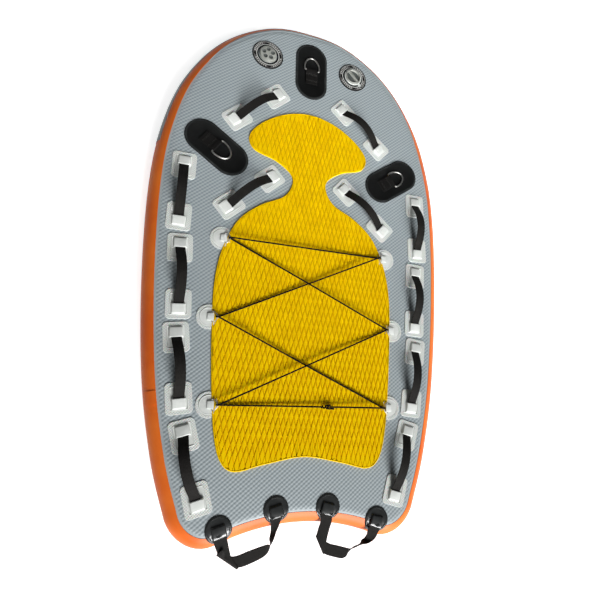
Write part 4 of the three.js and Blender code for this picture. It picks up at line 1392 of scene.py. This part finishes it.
# %% Caps
CAP_PROFILE = [(0, 3.3), (29, 3.3), (30.5, 4.6), (30.5, 8.8), (30.1, 9.7), (29.2, 10.2)]
CAP_PROFILE += [(27.2, 10.2), (26.6, 9.8), (26.0, 4.8), (25.2, 4.1), (0, 4.0)]
DISK_PROFILE = [(0, 3.3), (29, 3.3), (30.5, 4.6), (30.5, 7.6), (30.0, 8.7), (28.8, 9.4), (0, 9.4)]
BOWL_PROFILE = [(0, 4.3), (5.0, 4.4), (6.6, 5.4), (7.4, 7.4), (8.2, 12.0), (0, 12.0)]
POCKET_RADIUS = 17


def box(bm, size, middle):
    """Adds a cuboid and returns its edges."""
    made = bmesh.ops.create_cube(bm, size=1.0)["verts"]
    bmesh.ops.scale(bm, verts=made, vec=size)
    bmesh.ops.translate(bm, verts=made, vec=middle)
    return list({e for v in made for e in v.link_edges})


def inflation_cap():
    bm = lathe(CAP_PROFILE, 64)
    soften(bm, box(bm, (53.4, 9.5, 6.4), (0, 0, 7.0)), 1.6, 4)
    bm.normal_update()
    # Painted shade: the floors of the dish take the darker nylon
    paint([f for f in bm.faces if f.normal.z > 0.9], 1, lambda p: p.z < 4.2)
    return to_mesh(bm, "inflation_cap_look", [nylon, recess_shade_nylon])


def relief_cap():
    both, bowls = [nylon, recess_shade_nylon], []
    for i in range(5):
        angle = math.radians(90 + 72 * i)
        bowl = lathe(BOWL_PROFILE, 24)
        spot = (POCKET_RADIUS * math.cos(angle), POCKET_RADIUS * math.sin(angle), 0)
        bmesh.ops.translate(bowl, verts=bowl.verts, vec=spot)
        # Painted shade: the pockets take the darker nylon
        paint(bowl.faces, 1)
        bowls.append(to_mesh(bowl, "bowl", both))
    disk = to_mesh(lathe(DISK_PROFILE, 64), "disk", both)
    data = carve(disk, join(bowls, "bowls", both))
    data.set_sharp_from_angle(angle=CREASE)
    data.name = "relief_cap_look"
    return data


cap_place = inflation_place @ Matrix.Rotation(math.radians(-48), 4, "Z")
cap_node = "inflation_cap"
put("inflation_cap_look", inflation_cap(), cap_node, "valve_plastic", cap_node, cap_place)
put("relief_cap_look", relief_cap(), "relief_cap", "valve_plastic", place=relief_place)

# %% [markdown]
# A loose ring of clear PVC keeps the cap to the board, with a tongue welded to the collar.


# %% Tether
TETHER_PROFILE = [(31.4, 3.7), (34.2, 3.7), (34.4, 4.4), (34.4, 5.4)]
TETHER_PROFILE += [(34.0, 6.0), (31.8, 6.0), (31.4, 5.4)]


def tether():
    bm = lathe(TETHER_PROFILE, 64)
    tongue = box(bm, (20, 11, 1.9), (43, 0, 4.6))
    foot = box(bm, (7, 11, 3.4), (49.5, 0, 3.85))
    soften(bm, tongue + foot, 0.7, 3)
    return to_mesh(bm, "inflation_tether_look", [clear_pvc])


put("inflation_tether_look", tether(), "inflation_tether", "pvc_clear", place=cap_place)
print("caps and tether made")

# %% [markdown]
# ## Floor and light
# The floor is white paper. What the camera sees of it, straight, mirrored or through clear
# plastic, is lifted to plain white by its own light, and the sled's shadow stays on it.
# That lift never falls on the sled.
# One tall soft box stands low behind the starboard quarter, so the far and port sides of
# raised things fall into shade. A small lamp with a narrow beam lifts the nose a little, and
# a plain surround fills the shade.

# %% Floor, surround and lamps
# Matt white paper
FLOOR_GLOW, SURROUND = 0.8, 0.09
floor_paint = new_material("white_paper_floor", "#f2f2f2", 0.9)
rays = add(floor_paint, "ShaderNodeLightPath").outputs
seen = math_node(floor_paint, "MAXIMUM", rays["Is Camera Ray"], rays["Is Glossy Ray"])
seen = math_node(floor_paint, "MAXIMUM", seen, rays["Is Transmission Ray"])
link(floor_paint, math_node(floor_paint, "MULTIPLY", seen, FLOOR_GLOW), "Emission Strength")
shader_of(floor_paint).inputs["Emission Color"].default_value = linear("#ffffff")
bm = bmesh.new()
bmesh.ops.create_grid(bm, x_segments=1, y_segments=1, size=12.0)
bmesh.ops.translate(bm, verts=bm.verts, vec=(0, 0, -0.0005))
floor = show("studio_floor", plain_mesh(bm, "studio_floor"))
floor.data.materials.append(floor_paint)


def lamp(name, size, watts, place, aim, spread_deg=180.0):
    light = bpy.data.lights.new(name, "AREA")
    light.shape = "RECTANGLE"
    light.size, light.size_y = size
    light.energy = watts
    light.spread = math.radians(spread_deg)
    made = show(name, light)
    made.location = place
    made.rotation_euler = (Vector(aim) - Vector(place)).to_track_quat("-Z", "Y").to_euler()


lamp("soft_box_quarter", (5.6, 4.4), 2000.0, (3.2, -9.4, 5.0), (0, 0, 0))
lamp("soft_box_for_the_nose", (0.9, 0.9), 3.9, (0.7, -1.6, 2.6), (0.0, 1.3, 0), 40.0)

world = bpy.data.worlds.new("studio")
bpy.context.scene.world = world
world.use_nodes = True
surround = world.node_tree.nodes["Background"]
surround.inputs["Color"].default_value = linear("#ffffff")
surround.inputs["Strength"].default_value = SURROUND
bpy.context.scene.view_settings.view_transform = "Standard"
print("lamps and floor are in place")
